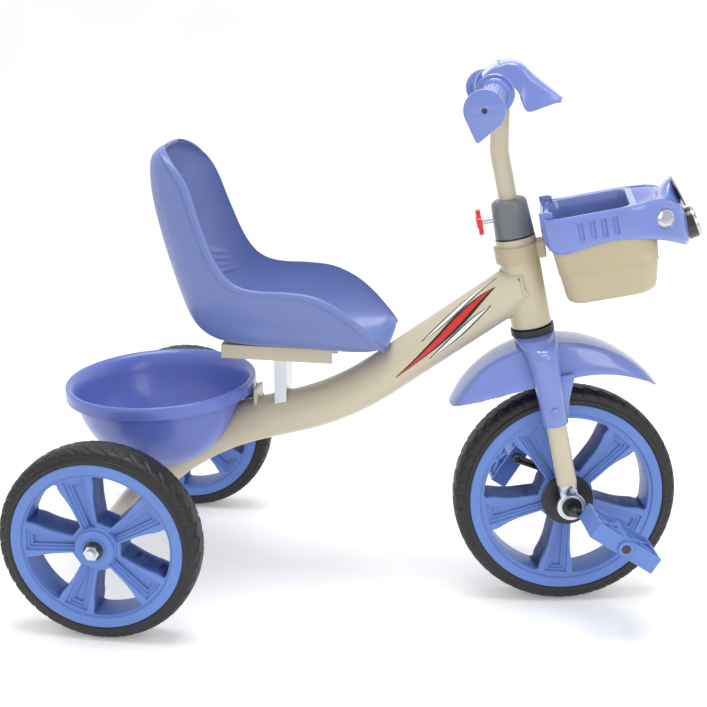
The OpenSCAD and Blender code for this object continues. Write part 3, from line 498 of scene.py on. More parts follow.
def seat_point(t, a):
    """Point of the seat's skin: t runs down the back to the front lip, a from rim to rim."""
    mid = blend_list(SEAT_MID, t)
    rim = blend_list(SEAT_RIM, t)
    last = len(SEAT_SHARE) - 1
    wide = SEAT_WIDE * max(0.0, table([(n / last, k) for n, k in enumerate(SEAT_SHARE)], t))
    if t < 2 / last:
        wide = SEAT_WIDE * SEAT_SHARE[2] * math.sqrt(max(0.0, 1 - (1 - t * last / 2) ** 2.3))
    lift = 1 - abs(math.cos(a)) ** 1.15
    y = wide * math.copysign(abs(math.sin(a)) ** 0.78, a)
    return Vector((mid[0] + (rim[0] - mid[0]) * lift, y, mid[1] + (rim[1] - mid[1]) * lift))


def seat_groove(t, a):
    """Depth of the moulded lines in the seat's skin."""
    d = math.degrees(a)
    depth = 0.0
    # Four slanting lines on each cheek, then three long ones on each side of the back.
    for n in range(4):
        line = abs((t - 0.315 - 0.022 * n) - (d - 38) * 0.0016)
        depth = max(depth, (1 - smooth_step(0.003, 0.008, line)) * smooth_step(30, 36, abs(d))
                    * (1 - smooth_step(58, 64, abs(d))))
    for n in range(3):
        line = abs(abs(d) - 16 - 11 * n - 60 * (t - 0.1) ** 2)
        depth = max(depth, (1 - smooth_step(0.7, 2.2, line)) * smooth_step(0.05, 0.08, t)
                    * (1 - smooth_step(0.20, 0.25, t)))
    return depth


def seat_shell():
    rows = []
    down = 160
    wide = 64
    for i in range(down + 1):
        t = i / down
        mid, rim = blend_list(SEAT_MID, t), blend_list(SEAT_RIM, t)
        row = []
        for j in range(wide + 1):
            a = math.radians(90 - 180 * j / wide)
            p = seat_point(t, a)
            cut = seat_groove(t, a)
            if cut:
                normal = (seat_point(min(1, t + 0.01), a) - seat_point(max(0, t - 0.01), a)).cross(
                    seat_point(t, a - 0.02) - seat_point(t, a + 0.02)).normalized()
                p = p - normal * cut * GROOVE_DEPTH
            row.append(p)
        lift = Vector((rim[0], 0, rim[1])) - Vector((mid[0], 0, mid[1]))
        lift = lift.normalized() if lift.length > 0.01 else Vector((0.5, 0, 0.86))
        room = smooth_step(0.0, 0.05, t)  # the folded edge fades out at the top of the back
        ends = []
        for out, drop in ((1.6, 0.4), (2.9, 1.6), (3.3, 3.4), (3.3, 7.5)):
            ends.append((out * room, drop * (0.35 + 0.65 * room)))
        left = [row[0] + Vector((0, o, 0)) - lift * d for o, d in reversed(ends)]
        right = [row[-1] - Vector((0, o, 0)) - lift * d for o, d in ends]
        rows.append([(p.x, p.y, p.z) for p in left + row + right])
    return grid_mesh(rows)


seat_place = shift(seat_back_x, 0, seat_base_z)
make("seat_shell", [(thicken(seat_shell(), 2.2, even=False), seat_place)], "frame",
     blue_satin, ["seat"], sharp=60, fix_normals=False)

# ---------- repeated details, made by node trees ----------


def new_tree(name, inputs):
    """An empty geometry tree with named inputs, given as (name, kind, value)."""
    tree = bpy.data.node_groups.new(name, "GeometryNodeTree")
    for label, kind, value in inputs:
        socket = tree.interface.new_socket(label, in_out="INPUT", socket_type=kind)
        if value is not None:
            socket.default_value = value
    tree.interface.new_socket("Geometry", in_out="OUTPUT", socket_type="NodeSocketGeometry")
    return tree, tree.nodes.new("NodeGroupInput"), tree.nodes.new("NodeGroupOutput")


def end_tree(tree, start, end, instances):
    """Realize Instances and Set Material close every tree."""
    real = tree.nodes.new("GeometryNodeRealizeInstances")
    paint = tree.nodes.new("GeometryNodeSetMaterial")
    tree.links.new(instances, real.inputs["Geometry"])
    tree.links.new(real.outputs["Geometry"], paint.inputs["Geometry"])
    tree.links.new(start.outputs["Finish"], paint.inputs["Material"])
    tree.links.new(paint.outputs["Geometry"], end.inputs["Geometry"])


def bar_ring_tree():
    """Bars of one size on a circle about Z, each facing outwards."""
    tree, start, end = new_tree("ring of bars", [
        ("Geometry", "NodeSocketGeometry", None), ("Count", "NodeSocketInt", 24),
        ("Radius", "NodeSocketFloat", 16.0), ("Height", "NodeSocketFloat", 1.5),
        ("Width", "NodeSocketFloat", 2.0), ("Length", "NodeSocketFloat", 40.0),
        ("Finish", "NodeSocketMaterial", None)])
    ring = tree.nodes.new("GeometryNodeMeshCircle")
    bar = tree.nodes.new("GeometryNodeMeshCube")
    size = tree.nodes.new("ShaderNodeCombineXYZ")
    spread = tree.nodes.new("GeometryNodeInstanceOnPoints")
    face = tree.nodes.new("FunctionNodeAlignEulerToVector")
    place = tree.nodes.new("GeometryNodeInputPosition")
    face.axis = "X"
    face.pivot_axis = "Z"
    tree.links.new(start.outputs["Count"], ring.inputs["Vertices"])
    tree.links.new(start.outputs["Radius"], ring.inputs["Radius"])
    for label, axis in (("Height", "X"), ("Width", "Y"), ("Length", "Z")):
        tree.links.new(start.outputs[label], size.inputs[axis])
    tree.links.new(size.outputs["Vector"], bar.inputs["Size"])
    tree.links.new(place.outputs["Position"], face.inputs["Vector"])
    tree.links.new(ring.outputs["Mesh"], spread.inputs["Points"])
    tree.links.new(bar.outputs["Mesh"], spread.inputs["Instance"])
    tree.links.new(face.outputs["Rotation"], spread.inputs["Rotation"])
    end_tree(tree, start, end, spread.outputs["Instances"])
    return tree


def bead_tree():
    """Round beads, overlapping like a weld's ripples, along a path."""
    tree, start, end = new_tree("weld beads", [
        ("Geometry", "NodeSocketGeometry", None), ("Spacing", "NodeSocketFloat", 1.8),
        ("Radius", "NodeSocketFloat", 2.0), ("Finish", "NodeSocketMaterial", None)])
    path = tree.nodes.new("GeometryNodeMeshToCurve")
    even = tree.nodes.new("GeometryNodeResampleCurve")
    bead = tree.nodes.new("GeometryNodeMeshIcoSphere")
    spread = tree.nodes.new("GeometryNodeInstanceOnPoints")
    even.mode = "LENGTH"
    bead.inputs["Subdivisions"].default_value = 2
    tree.links.new(start.outputs["Geometry"], path.inputs["Mesh"])
    tree.links.new(path.outputs["Curve"], even.inputs["Curve"])
    tree.links.new(start.outputs["Spacing"], even.inputs["Length"])
    tree.links.new(start.outputs["Radius"], bead.inputs["Radius"])
    tree.links.new(even.outputs["Curve"], spread.inputs["Points"])
    tree.links.new(bead.outputs["Mesh"], spread.inputs["Instance"])
    end_tree(tree, start, end, spread.outputs["Instances"])
    return tree


def grow(tree, mesh, **values):
    """The plain mesh that a tree makes from a mesh, with its named inputs set."""
    thing = bpy.data.objects.new("grown", mesh)
    modifier = thing.modifiers.new("grown", "NODES")
    modifier.node_group = tree
    for item in tree.interface.items_tree:
        if item.item_type == "SOCKET" and item.in_out == "INPUT" and item.name in values:
            modifier[item.identifier] = values[item.name]
    return plain_mesh(thing)


bar_ring = bar_ring_tree()
weld_beads = bead_tree()


def ring_of_bars(material, **sizes):
    return grow(bar_ring, bpy.data.meshes.new("seed"), Finish=material, **sizes)


def closed_path(points):
    mesh = bpy.data.meshes.new("path")
    mesh.from_pydata(points, [(i, (i + 1) % len(points)) for i in range(len(points))], [])
    return mesh


# ---------- mudguard ----------

LEG_V = 45  # from the wheel's middle to a fork leg
GUARD_R = 137.9
GUARD_BEND = 0.62  # where the crown turns down into the skirt, as a share of the half width
# Both lists start with the angle round the wheel, in degrees.
FENDER_EDGE = [(25, 137.4), (29, 133), (35, 127), (44, 119), (54, 111), (64, 104), (74, 98), (84, 94),
               (96, 93), (108, 97), (120, 105), (130, 117), (137, 129), (141, 136.6)]
FENDER_HALF = [(25, 11), (25.6, 15), (26.8, 20), (29, 25), (33, 30), (40, 34), (54, 37.4), (72, 38.8),
               (108, 38.8), (122, 38), (130, 36), (135, 32), (138, 27), (140, 21), (141, 14)]


def fender_shell():
    rows = []
    for angle in range(25, 142):
        a = math.radians(angle)
        edge, half = table(FENDER_EDGE, angle), table(FENDER_HALF, angle)
        row = []
        for j in range(49):
            k = 2 * j / 48 - 1
            s = abs(k)
            crown = min(1.0, s / GUARD_BEND)
            skirt = max(0.0, (s - GUARD_BEND) / (1 - GUARD_BEND))
            v = half * (0.74 * crown + 0.26 * math.sin(skirt * math.pi / 2) ** 0.9)
            drop = 2.6 * crown ** 2.4 * min(1, half / 30)
            r = GUARD_R - drop - max(0.0, GUARD_R - drop - edge) * skirt ** 1.15
            row.append((r * math.cos(a), math.copysign(v, k), 49 + r * math.sin(a)))
        rows.append(row)
    return grid_mesh(rows)


def sleeve(side):
    """The round sleeve over one fork leg, domed over the end of the crown."""
    outline = [(0.01, 182.8), (8, 182.7), (11.4, 182.3), (13, 180.8), (14.1, 178.4), (14.4, 175),
               (14.45, 160), (14.45, 120), (14.4, 101), (13.9, 99.4), (12.6, 99.1), (0.01, 99.1)]
    mesh = lathe(outline, 64, loop=False)
    mesh.transform(Matrix.Translation((0, side * LEG_V, 0)))
    return mesh


def shoulder(side):
    """The slope from the collar down on to the sleeve."""
    rows = []
    sections = [(193.9, 0, 22.8), (192.6, 8, 22.7), (190.6, 18, 21.8), (188, 28, 20.2),
                (185, 35, 18.9), (181, 39, 18.0), (175, 41.8, 17.0), (166, 43.4, 16.1),
                (152, 44.3, 15.3), (134, 44.8, 14.8), (118, LEG_V, 14.2)]
    for n in range(49):
        w, v, r = blend_list(sections, n / 48)
        rows.append([(r * math.cos(a), side * v + r * math.sin(a), w)
                     for a in (2 * math.pi * k / 48 for k in range(48))])
    return grid_mesh(rows, loop_columns=True, close_ends=True)


wing_line = [(8, 100.5), (14.2, 101), (16.5, 112), (20.5, 126), (26, 139), (31, 151), (10, 151)]
wing = plate(wing_line, [], 2.4, 1.1)
fender_parts = [(thicken(fender_shell(), 2.3), FORK)]
for side in (-1, 1):
    fender_parts.append((sleeve(side), FORK))
    fender_parts.append((shoulder(side), FORK))
    fender_parts.append((wing, FORK @ shift(0, side * LEG_V, 0) @ UPRIGHT))
make("mudguard", fender_parts, "fork", blue_gloss, ["fender"], sharp=40)

# ---------- fork ends ----------

eye = arc(0, 0, 16, 128, 408, 40)
eye += [(8.6, 17), (8.6, 22), (-8.6, 22), (-8.6, 17)]


def fork_neck():
    """The pressed part between the round leg and the flat eye."""
    rows = []
    for n in range(15):
        k = n / 14
        w = 30 - 19 * k
        flat = smooth_step(0.05, 0.95, k)
        ru, rv = 10.6 - 0.6 * flat, 10.6 - 8.2 * flat
        rows.append([(ru * math.cos(a), rv * math.sin(a), w)
                     for a in (2 * math.pi * m / 36 for m in range(36))])
    return grid_mesh(rows, loop_columns=True, close_ends=True)


eye_ring = lathe([(9.2, -3.1), (9.6, -3.6), (12.2, -3.6), (12.8, -3.0), (12.8, 3.0), (12.2, 3.6),
                  (9.6, 3.6), (9.2, 3.1)], 48)
for side, word in ((-1, "right"), (1, "left")):
    place = FORK @ shift(0, side * LEG_V, 0)
    make(f"fork_end_plate_{word}", [(plate(eye, [circle(9.1, 40)], 2.5, 1.0), place @ UPRIGHT),
                                    (fork_neck(), place), (eye_ring, place @ UPRIGHT)],
         "fork", zinc_plate, [f"fork_end_{word}"], sharp=35)

# ---------- front basket ----------

TRIM_PLAN = [(30, 0), (30, 16), (30, 32), (30.6, 46), (34, 56), (42, 61.0), (54, 62), (72, 62), (90, 62),
             (108, 61.8), (120, 60.6), (132, 57.4), (143, 52.4), (153, 46.6), (162, 40.4), (170, 33.6),
             (176.4, 26), (180.4, 17), (182, 8), (182, 0)]
# The next three are heights along the trim: its lower edge, its upper edge and the hood's ridge.
TRIM_LOW = [(30, 300), (32, 295.4), (36, 291), (44, 287.6), (54, 287), (70, 289.4), (85, 291.8),
            (100, 292.8), (112, 292.4), (130, 289), (146, 284), (158, 279), (168, 273.6),
            (176, 268.4), (182, 264)]
TRIM_HIGH = [(30, 328.6), (38, 326.4), (60, 325.4), (130, 325.4), (148, 325.4), (158, 324), (166, 320.6),
             (172, 315.6), (178, 308), (182, 301)]
CREST = [(124, 315), (136, 316), (146, 318.6), (154, 323.6), (161, 331.6), (166, 336.6), (169, 337.8),
         (171.6, 337), (174, 332.4), (178, 321), (180.6, 312)]
LAMP_AT = Vector((181.6, 0, 284))


def trim_relief(u, w):
    """How far the trim's side is pressed in: four slots and an oval for the badge."""
    slots = 0.0
    for n in range(4):
        slots = max(slots, 1 - smooth_step(1.6, 3.0, abs(u - 71 - 12 * n)))
    slots *= smooth_step(298, 301, w) * (1 - smooth_step(317, 320, w))
    oval = math.hypot((u - 158) / 9.4, (w - 303) / 13.0)
    return 2.3 * slots + 1.6 * (1 - smooth_step(0.82, 1.0, oval))


def trim_band():
    rows = []
    steps = 300
    for i in range(2 * steps):
        t = i / steps  # 0 to 1 is the left side, and 1 to 2 comes back along the right
        along = t if t <= 1 else 2 - t
        u, v = blend_list(TRIM_PLAN, along)
        back = blend_list(TRIM_PLAN, max(0.0, along - 0.004))
        ahead = blend_list(TRIM_PLAN, min(1.0, along + 0.004))
        way = Vector((ahead[0] - back[0], ahead[1] - back[1], 0)).normalized()
        out = Vector((-way.y, way.x, 0))
        if out.dot(Vector((u - 100, v, 0))) < 0:
            out = -out
        if t > 1:
            v, out.y = -v, -out.y
        low, high = table(TRIM_LOW, u), table(TRIM_HIGH, u)
        row = []
        for j in range(41):
            k = j / 40
            w = low + (high - low) * k
            tuck = 2.6 * (1 - smooth_step(0, 0.16, k)) ** 2 + 1.4 * smooth_step(0.86, 1.0, k) ** 2
            swell = 0.9 * math.sin(math.pi * k) - 0.9
            push = out * (swell - tuck - trim_relief(u, w))
            row.append((u + push.x, v + push.y, w))
        rows.append(row)
    return grid_mesh(rows, loop_rows=True)


def plan_half(u):
    """Half width of the trim's outline at u, inside its wall."""
    sides = [p for p in TRIM_PLAN if p[0] >= 30.6]  # leaves out the straight rear edge
    return table(sides, u) - 2.2


def trim_hood():
    """The deck that closes the front of the basket, rises to a crest and falls to the nose."""
    rows = []
    first, last = 126, 180.5
    for i in range(61):
        u = first + (last - first) * i / 60
        half = max(1.5, plan_half(u))
        rows.append([])
        for j in range(41):
            k = 2 * j / 40 - 1
            arch = 1 - smooth_step(0.12, 0.98, abs(k))
            w = table(TRIM_HIGH, u) - 1.4 + (table(CREST, u) - table(TRIM_HIGH, u) - 1.4) * arch
            rows[-1].append((u, half * k, w))
    return grid_mesh(rows)


trim_parts = [(thicken(trim_band(), 2.6), HEAD), (thicken(trim_hood(), 2.4), HEAD)]
step_wall = plate([(-56, 311), (56, 311), (56, 321), (-56, 321)], [], 1.3, 0.5)
trim_parts.append((step_wall, HEAD @ shift(127, 0, 0) @ turn(90, "Z") @ UPRIGHT))
for side in (-1, 1):
    clip = plate([(31, 318), (45, 318), (45, 331), (41, 333), (31, 333)], [], 2.0, 0.6)
    trim_parts.append((clip, HEAD @ shift(0, side * 50, 0) @ UPRIGHT))
    boss = lathe([(0.01, 0), (5.0, 0), (5.0, 3.4), (4.4, 4.0), (0.01, 4.0)], 32, loop=False)
    trim_parts.append((boss, HEAD @ shift(37, side * 46, 322)))
make("basket_rim", trim_parts, "frame", blue_gloss, ["basket_trim"], sharp=38)


def box_row(rear, ahead, half, rear_corner, front_corner, steps, w):
    """One level of a box with rounded corners."""
    row = []
    rear_u, front_u = rear + rear_corner, ahead - front_corner
    for cx, cy, corner, first in ((front_u, half - front_corner, front_corner, 0),
                                  (rear_u, half - rear_corner, rear_corner, 90),
                                  (rear_u, rear_corner - half, rear_corner, 180),
                                  (front_u, front_corner - half, front_corner, 270)):
        for n in range(steps + 1):
            a = math.radians(first + 90 * n / steps)
            row.append((cx + corner * math.cos(a), cy + corner * math.sin(a), w))
    return row


TUB_FLOOR, TUB_MID = 228.2, 90
# Pairs of height and inset. The change of inset at 262 makes the step in the tub's side.
TUB_LEVELS = [(TUB_FLOOR, 12), (228.3, 7), (229.2, 3.4), (231.4, 1.2), (235, 0.3), (240, 0), (252, 0),
              (261.4, 0), (262.0, -0.9), (264, -0.6), (280, -0.5), (292, -0.5), (300, -0.5), (311, -0.5)]


def tub_shell():
    rows = []
    for w, inset in TUB_LEVELS:
        k = min(1.0, (w - 228) / 90)
        rear = 44.5 - 9.2 * k + inset
        ahead = 138 + 11.4 * (1 - (1 - k) ** 1.6) - inset * 1.2
        half = 50 + 6.6 * k - inset
        tight = min(12 + 8 * (1 - k), half - 1)
        wide = min(tight + 20 * smooth_step(0.34, 0.72, k), half - 1)
        rows.append(box_row(rear, ahead, half, tight, wide, 12, w))
    mesh = grid_mesh(rows, loop_columns=True)
    floor_points = [rows[0]]
    for shrink in (0.8, 0.5, 0.2):
        floor_points.append([(TUB_MID + (x - TUB_MID) * shrink, y * shrink, TUB_FLOOR)
                             for x, y, _ in rows[0]])
    base = grid_mesh(floor_points, loop_columns=True)
    work = bmesh.new()
    work.from_mesh(mesh)
    work.from_mesh(base)
    ring = [v for v in work.verts
            if abs(v.co.z - TUB_FLOOR) < 0.01 and abs(v.co.y) < 12.5 and abs(v.co.x - TUB_MID) < 12]
    bmesh.ops.contextual_create(work, geom=ring)
    work.to_mesh(mesh)
    work.free()
    return mesh


def liner():
    """The inner skirt of the rim, folded down over the tub's edge."""
    levels = [(324.4, -3.0), (325.0, 0.5), (324.6, 3.6), (322, 4.6), (310, 5.0), (298, 5.4), (290, 5.8)]
    return grid_mesh([box_row(36 + inset, 128 - inset, 56.6 - inset, 13, 13, 8, w) for w, inset in levels],
                     loop_columns=True)


make("basket_liner", [(thicken(liner(), 1.6), HEAD)], "frame", blue_gloss, sharp=40)
make("basket_tub_shell", [(thicken(tub_shell(), 2.8), HEAD)], "frame",
     cream_plastic, ["basket_tub"], sharp=40)

lamp_turn = HEAD @ shift(*LAMP_AT) @ turn(78, "Y")
bezel = lathe([(10.8, -2.5), (16.9, -2.5), (16.9, 7.5), (16.2, 9.8), (14.8, 10.9), (13.4, 10.6),
               (12.6, 9.0), (10.8, 8.2)], 64)
glass = lathe([(0.01, 7.8), (4, 7.6), (8, 6.8), (11.4, 5.4), (11.6, 1.2), (0.01, 1.2)], 48, loop=False)
bars = ring_of_bars(chrome_plate, Count=12, Radius=8.6, Height=6.4, Width=1.5, Length=2.2)
centre = lathe([(0.01, 10.4), (3.0, 10.2), (4.6, 9.2), (5.0, 7.0), (0.01, 7.0)], 32, loop=False)
rim_ring = lathe([(14.2, 10.9), (14.6, 11.4), (15.8, 11.0), (16.6, 9.6), (16.95, 7.8), (16.6, 7.4),
                  (14.2, 9.8)], 64)
bright_parts = [(rim_ring, lamp_turn), (bars, lamp_turn @ shift(0, 0, 8.2)), (centre, lamp_turn)]
make("nose_lamp_bezel", bright_parts, "frame", chrome_plate, ["nose_lamp"], sharp=35)
make("nose_lamp_body", [(bezel, lamp_turn)], "frame", black_enamel, sharp=35)
make("nose_lamp_glass", [(glass, lamp_turn)], "frame", smoke_screen)

for side, word in ((-1, "right"), (1, "left")):
    # Turned with a radius of about 1, then stretched to an oval.
    oval = lathe([(0.01, 1.9), (0.5, 1.9), (0.78, 1.5), (0.9, 0.9), (0.94, 1.4), (1.0, 1.2),
                  (1.02, 0), (0.01, 0)], 56, loop=False)
    for v in oval.vertices:
        v.co.x *= 10.6
        v.co.y *= 9.0
    lean = HEAD @ shift(157.2, side * 42.0, 303) @ turn(side * 57, "Z") @ turn(90, "Y") @ turn(90, "Z")
    make(f"front_badge_{word}", [(oval, lean)], "frame", chrome_plate,
         ["side_badges"] if side < 0 else (), sharp=40)

screen_rows = []
for i in range(25):
    u = 171.2 + 9.0 * i / 24
    half = 15.5 + 8.0 * math.sin(math.pi * (0.25 + 0.5 * (i / 24)))
    shares = [2 * j / 24 - 1 for j in range(25)]
    screen_rows.append([(u, half * k, table(CREST, u) - 0.6 - 5.0 * abs(k) ** 2.2) for k in shares])
make("front_screen", [(thicken(grid_mesh(screen_rows), 1.4, offset=1.0), HEAD)], "frame",
     smoke_screen, ["windscreen"], sharp=40)

# ---------- rear bowl ----------

bowl_corner, bowl_far_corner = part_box("bowl")
BOWL = Matrix.Translation(((bowl_corner.x + bowl_far_corner.x) / 2, 0, 0.238)) @ turn(-2.5, "Y")
REAR_SLOPE, MID_SLOPE = math.radians(44), math.radians(16)
MID_X, MID_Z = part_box("bowl_lug")[0].x * 1000, 192.8  # on the middle line of the tube's flatter part
DOME_R = 97
BOWL_EDGE = [(95.5, -22), (96.7, -16), (98.6, -10), (101.2, -5.4), (103.8, -2.4), (106, -0.9),
             (107.8, -0.35), (109.2, -0.9), (109.9, -2.6), (110, -6), (110, -10), (110, -14.9)]


def tunnel_height(x, y, radius):
    """Height in the bowl's frame of the cover over the main tube, or None beside it."""
    if abs(y) >= radius:
        return None
    spot = BOWL.translation * 1000
    crown = math.sqrt(radius * radius - y * y)
    steep = (rear_axle.z * 1000 + (spot.x + x - rear_axle.x * 1000) * math.tan(REAR_SLOPE)
             + crown / math.cos(REAR_SLOPE))
    flat = MID_Z + (spot.x + x - MID_X) * math.tan(MID_SLOPE) + crown / math.cos(MID_SLOPE)
    return min(steep, flat) - spot.z


def bowl_shell():
    radii = [0.4 + 3.4 * n for n in range(28)]
    outline = [(r, -6 - math.sqrt(DOME_R * DOME_R - max(r, 20) ** 2)) for r in radii]
    outline = [p for p in outline if p[0] < 94.5] + BOWL_EDGE
    rows = []
    for r, z in outline:
        row = []
        for n in range(144):
            a = 2 * math.pi * n / 144
            x, y = r * math.cos(a), r * math.sin(a)
            cover = tunnel_height(x, y, 28.8)
            row.append((x, y, z if cover is None or r > DOME_R else max(z, min(cover, -8))))
        rows.append(row)
    return grid_mesh(rows, loop_columns=True)


# The darker bowl blue is painted shade for the bowl's hollow.
make("rear_bowl_shell", [(thicken(bowl_shell(), 2.4, even=False), BOWL)], "frame",
     bowl_blue_with_painted_shade, ["bowl"], sharp=50)

# ---------- handlebar ----------

BAR_U, BAR_W = 14.71, 467.5
COWL_TOP = [(-2.6, 481.6), (6, 486.8), (16, 490), (27, 491), (40, 485.6), (50, 472.2), (62, 457.8),
            (74.4, 443.4)]
COWL_LOW = [(-2.2, 479.6), (6, 478.4), (15, 477), (24, 470), (32.4, 455), (36, 437.6), (54, 438.2),
            (72.4, 440.8)]
COWL_HALF = [34, 35.4, 35.9, 35.9, 35.9, 35.4, 34.0, 31.0]
COWL_BEND = 0.66  # where the roof turns down, as a share of the half width


def cowl_shell():
    rows = []
    for i in range(61):
        t = i / 60
        top_u, top_w = blend_list(COWL_TOP, t)
        low_u, low_w = blend_list(COWL_LOW, t)
        half = blend_list(COWL_HALF, t)
        row = []
        for j in range(45):
            k = 2 * j / 44 - 1
            s = abs(k)
            roof = min(1.0, s / COWL_BEND)
            side = max(0.0, (s - COWL_BEND) / (1 - COWL_BEND))
            fall = 0.36 * roof ** 5 if side == 0 else 0.36 + 0.64 * side
            v = half * (0.93 * math.sin(roof * math.pi / 2) ** 0.95 if side == 0 else 0.93 + 0.07 * side)
            row.append((top_u + (low_u - top_u) * fall, math.copysign(v, k),
                        top_w + (low_w - top_w) * fall))
        rows.append(row)
    return grid_mesh(rows)


make("bar_cowl", [(thicken(cowl_shell(), 2.3), BAR)], "handlebar", blue_gloss,
     ["cowl"], sharp=38)

# The plate at a grip's end is a disc with a small rounded tail, which points down and back.
TAIL_WAY = -114
tail_x, tail_y = (29.5 * f(math.radians(TAIL_WAY)) for f in (math.cos, math.sin))
grip_plate = arc(0, 0, 20.4, TAIL_WAY + 52, TAIL_WAY + 308, 48)
grip_plate += arc(tail_x, tail_y, 2.5, TAIL_WAY - 52, TAIL_WAY + 52, 8)
barrel = lathe([(10.1, 0.4), (10.1, 0), (19.8, 0), (20.4, 0.8), (20.4, 4.2), (19.8, 5), (16.4, 5.2),
                (15.4, 6.2), (14.2, 12), (14.0, 60), (14.6, 78), (15.0, 84), (10.1, 84)], 64)
for side, word in ((-1, "right"), (1, "left")):
    bar = BAR @ shift(BAR_U, 0, BAR_W) @ turn(side * 8.4, "Z") @ turn(-side * 4.3, "X")
    along = bar @ shift(0, side * 52, 0) @ turn(-side * 90, "X")
    flat = bar @ shift(0, side * (140 - 2.5), 0) @ UPRIGHT
    ribs = ring_of_bars(blue_gloss, Count=26, Radius=14.1, Height=1.8, Width=1.5, Length=62.0)
    make(f"hand_grip_{word}", [(plate(grip_plate, [circle(2.6, 24)], 2.5, 0.9), flat), (barrel, along),
                               (ribs, along @ shift(0, 0, 44))],
         "handlebar", blue_gloss, [f"grip_{word}"], sharp=36)

# ---------- main tube's welds and stripes ----------

TUBE_R, HEAD_R, FRONT_SLOPE, JOIN_W = 25.0, 22.0, 37, 252
JOIN = Vector((0, 0, JOIN_W))
tilt = math.degrees(math.atan2(-steering_axis.x, steering_axis.z))
down = math.radians(FRONT_SLOPE - tilt)
TUBE_WAY = Vector((-math.cos(down), 0, -math.sin(down)))
TUBE_UP = Vector((-math.sin(down), 0, math.cos(down)))


def on_tube(s, around, lift=0.0):
    """Point on the main tube s from the steering axis: around is 0 on the right and 90 on top."""
    a = math.radians(around)
    out = Vector((0, -1, 0)) * math.cos(a) + TUBE_UP * math.sin(a)
    return JOIN + TUBE_WAY * s + out * (TUBE_R + lift)


def stripe(points, lift):
    """A flat stripe laid on the tube, from (s, around, half width) points."""
    rows = []
    for n in range(49):
        s, around, half = blend_list(points, n / 48)
        rows.append([tuple(on_tube(s + half * 0.25 * k, around + k * math.degrees(half / TUBE_R), lift))
                     for k in (-1, -0.5, 0, 0.5, 1)])
    return thicken(grid_mesh(rows), 0.12, offset=1.0)


black_mark = finish("black stripe", (0.012, 0.012, 0.014), 0.2, 0.3, 0.04, 300, 0.03)
white_mark = finish("white stripe", (0.80, 0.80, 0.79), 0.02, 0.3, 0.04, 300, 0.03)
red_mark = finish("red stripe", (0.62, 0.02, 0.02), 0.05, 0.3, 0.04, 300, 0.03)
sweeps = [
    [(26, 40, 0.4), (48, 34, 4.2), (78, 20, 6.4), (112, 4, 5.0), (146, -8, 2.6), (176, -16, 0.3)],
    [(40, 6, 0.3), (62, 0, 3.0), (88, -10, 3.8), (112, -18, 2.4), (132, -24, 0.3)],
    [(20, 62, 0.3), (44, 58, 2.2), (72, 46, 3.2), (102, 34, 2.4), (128, 26, 0.3)],
]


def inner_sweep(points, share):
    """A shorter and narrower stripe inside another one."""
    first, last = points[0][0], points[-1][0]
    middle = (first + last) / 2
    return [(middle + (s - middle) * 0.93, a, max(0.05, h * share)) for s, a, h in points]


make("tube_stripes_black", [(stripe(line, 0.02), HEAD) for line in sweeps], "frame",
     black_mark)
make("tube_stripes_white", [(stripe(inner_sweep(line, 0.62), 0.16), HEAD) for line in sweeps[1:]],
     "frame", white_mark)
make("tube_stripes_red", [(stripe(inner_sweep(sweeps[0], 0.55), 0.16), HEAD)], "frame",
     red_mark)

weld_line = []
for n in range(120):
    around = 3 * n
    a = math.radians(around)
    y = -TUBE_R * math.cos(a)
    behind = -math.sqrt(max(0.0, HEAD_R * HEAD_R - y * y)) - 0.6
    s = (behind - TUBE_R * math.sin(a) * TUBE_UP.x) / TUBE_WAY.x
    weld_line.append(tuple(on_tube(s, around, -0.4)))
beads = grow(weld_beads, closed_path(weld_line), Spacing=1.7, Radius=1.9, Finish=cream_paint)
make("head_weld", [(beads, HEAD)], "frame", cream_paint, fix_normals=False)

# ---------- stage ----------

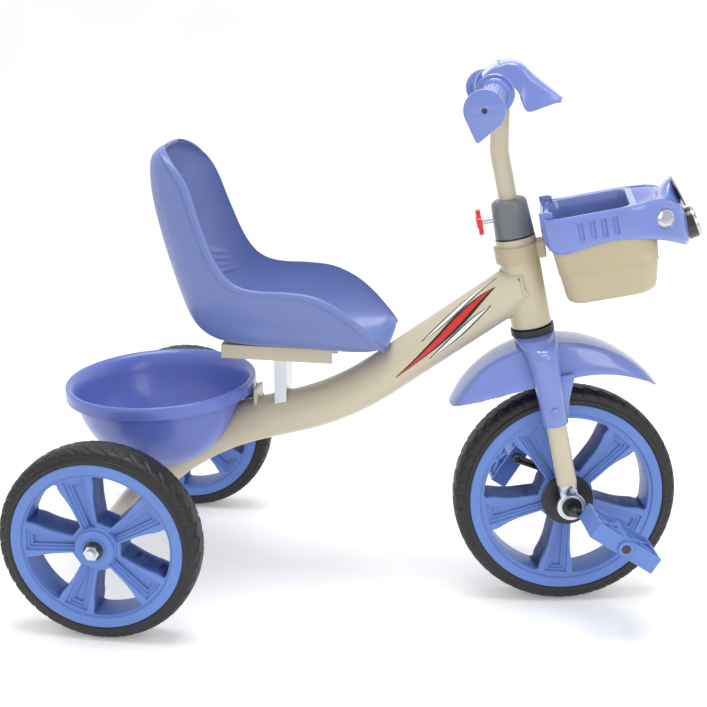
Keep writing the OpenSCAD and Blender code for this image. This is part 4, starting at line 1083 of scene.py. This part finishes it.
# The floor is flat under the part and curves up into a wall behind it. Sizes here are in metres.
backdrop = [(-7, 0), (-3, 0), (0, 0), (3, 0)]
backdrop += [(3 + 3 * math.sin(math.radians(a)), 3 - 3 * math.cos(math.radians(a)))
             for a in range(6, 91, 6)]
backdrop += [(6, 6), (6, 10)]
floor_mesh = grid_mesh([[(x, y, z) for x in (9, 3, -3, -9)] for y, z in backdrop])
floor_mesh.shade_smooth()
floor = bpy.data.objects.new("floor", floor_mesh)
bpy.context.scene.collection.objects.link(floor)
floor.location.z = cad_box[0].z - 0.0002
floor_look, floor_nodes, floor_links, floor_shader = new_material("pale floor")
floor_coords = floor_nodes.new("ShaderNodeTexCoord").outputs["Object"]
floor_cloud = noise(floor_nodes, floor_links, floor_coords, 3.0)
floor_colour = ramp(floor_nodes, floor_links, floor_cloud, 0.3, 0.7, (0.90, 0.90, 0.905),
                    (0.93, 0.93, 0.935))
floor_links.new(floor_colour, floor_shader.inputs["Base Color"])
floor_shader.inputs["Roughness"].default_value = 0.7
floor_shader.inputs["Emission Color"].default_value = (1.0, 1.0, 1.0, 1)
floor_shader.inputs["Emission Strength"].default_value = 0.17
floor_mesh.materials.append(floor_look)

world = bpy.data.worlds.new("studio")
bpy.context.scene.world = world
world.use_nodes = True
world.node_tree.nodes["Background"].inputs["Color"].default_value = (1.0, 1.0, 1.0, 1)
world.node_tree.nodes["Background"].inputs["Strength"].default_value = 0.80


def soft_light(name, place, target, wide, tall, power):
    lamp = bpy.data.lights.new(name, "AREA")
    lamp.shape = "RECTANGLE"
    lamp.size = wide
    lamp.size_y = tall
    lamp.energy = power
    thing = bpy.data.objects.new(name, lamp)
    thing.location = place
    thing.rotation_mode = "QUATERNION"
    thing.rotation_quaternion = (Vector(target) - Vector(place)).to_track_quat("-Z", "Y")
    bpy.context.scene.collection.objects.link(thing)


soft_light("top light", (0.0, -0.1, 2.6), (0, 0, 0.3), 1.6, 1.2, 40)
soft_light("front light", (1.6, -1.6, 1.3), (0.1, 0, 0.3), 0.9, 1.3, 9)

YAW, PITCH, ROLL = 0.126, 0.277, 0.016  # radians
CAMERA_AT = Vector((0.1814, -1.2899, 0.7023))
look = Vector((-math.sin(YAW) * math.cos(PITCH), math.cos(YAW) * math.cos(PITCH), -math.sin(PITCH)))
level = Vector((math.cos(YAW), math.sin(YAW), 0))
rise = level.cross(look)
right = level * math.cos(ROLL) + rise * math.sin(ROLL)
top = rise * math.cos(ROLL) - level * math.sin(ROLL)
optics = bpy.data.cameras.new("camera")
optics.sensor_width = 36
optics.lens = 61.24
optics.shift_x = -0.0347
optics.shift_y = -0.0627
optics.clip_start = 0.05
camera = bpy.data.objects.new("camera", optics)
camera.matrix_world = axes(CAMERA_AT, right, top, -look)
bpy.context.scene.collection.objects.link(camera)
bpy.context.scene.camera = camera
bpy.context.scene.view_settings.view_transform = "Standard"
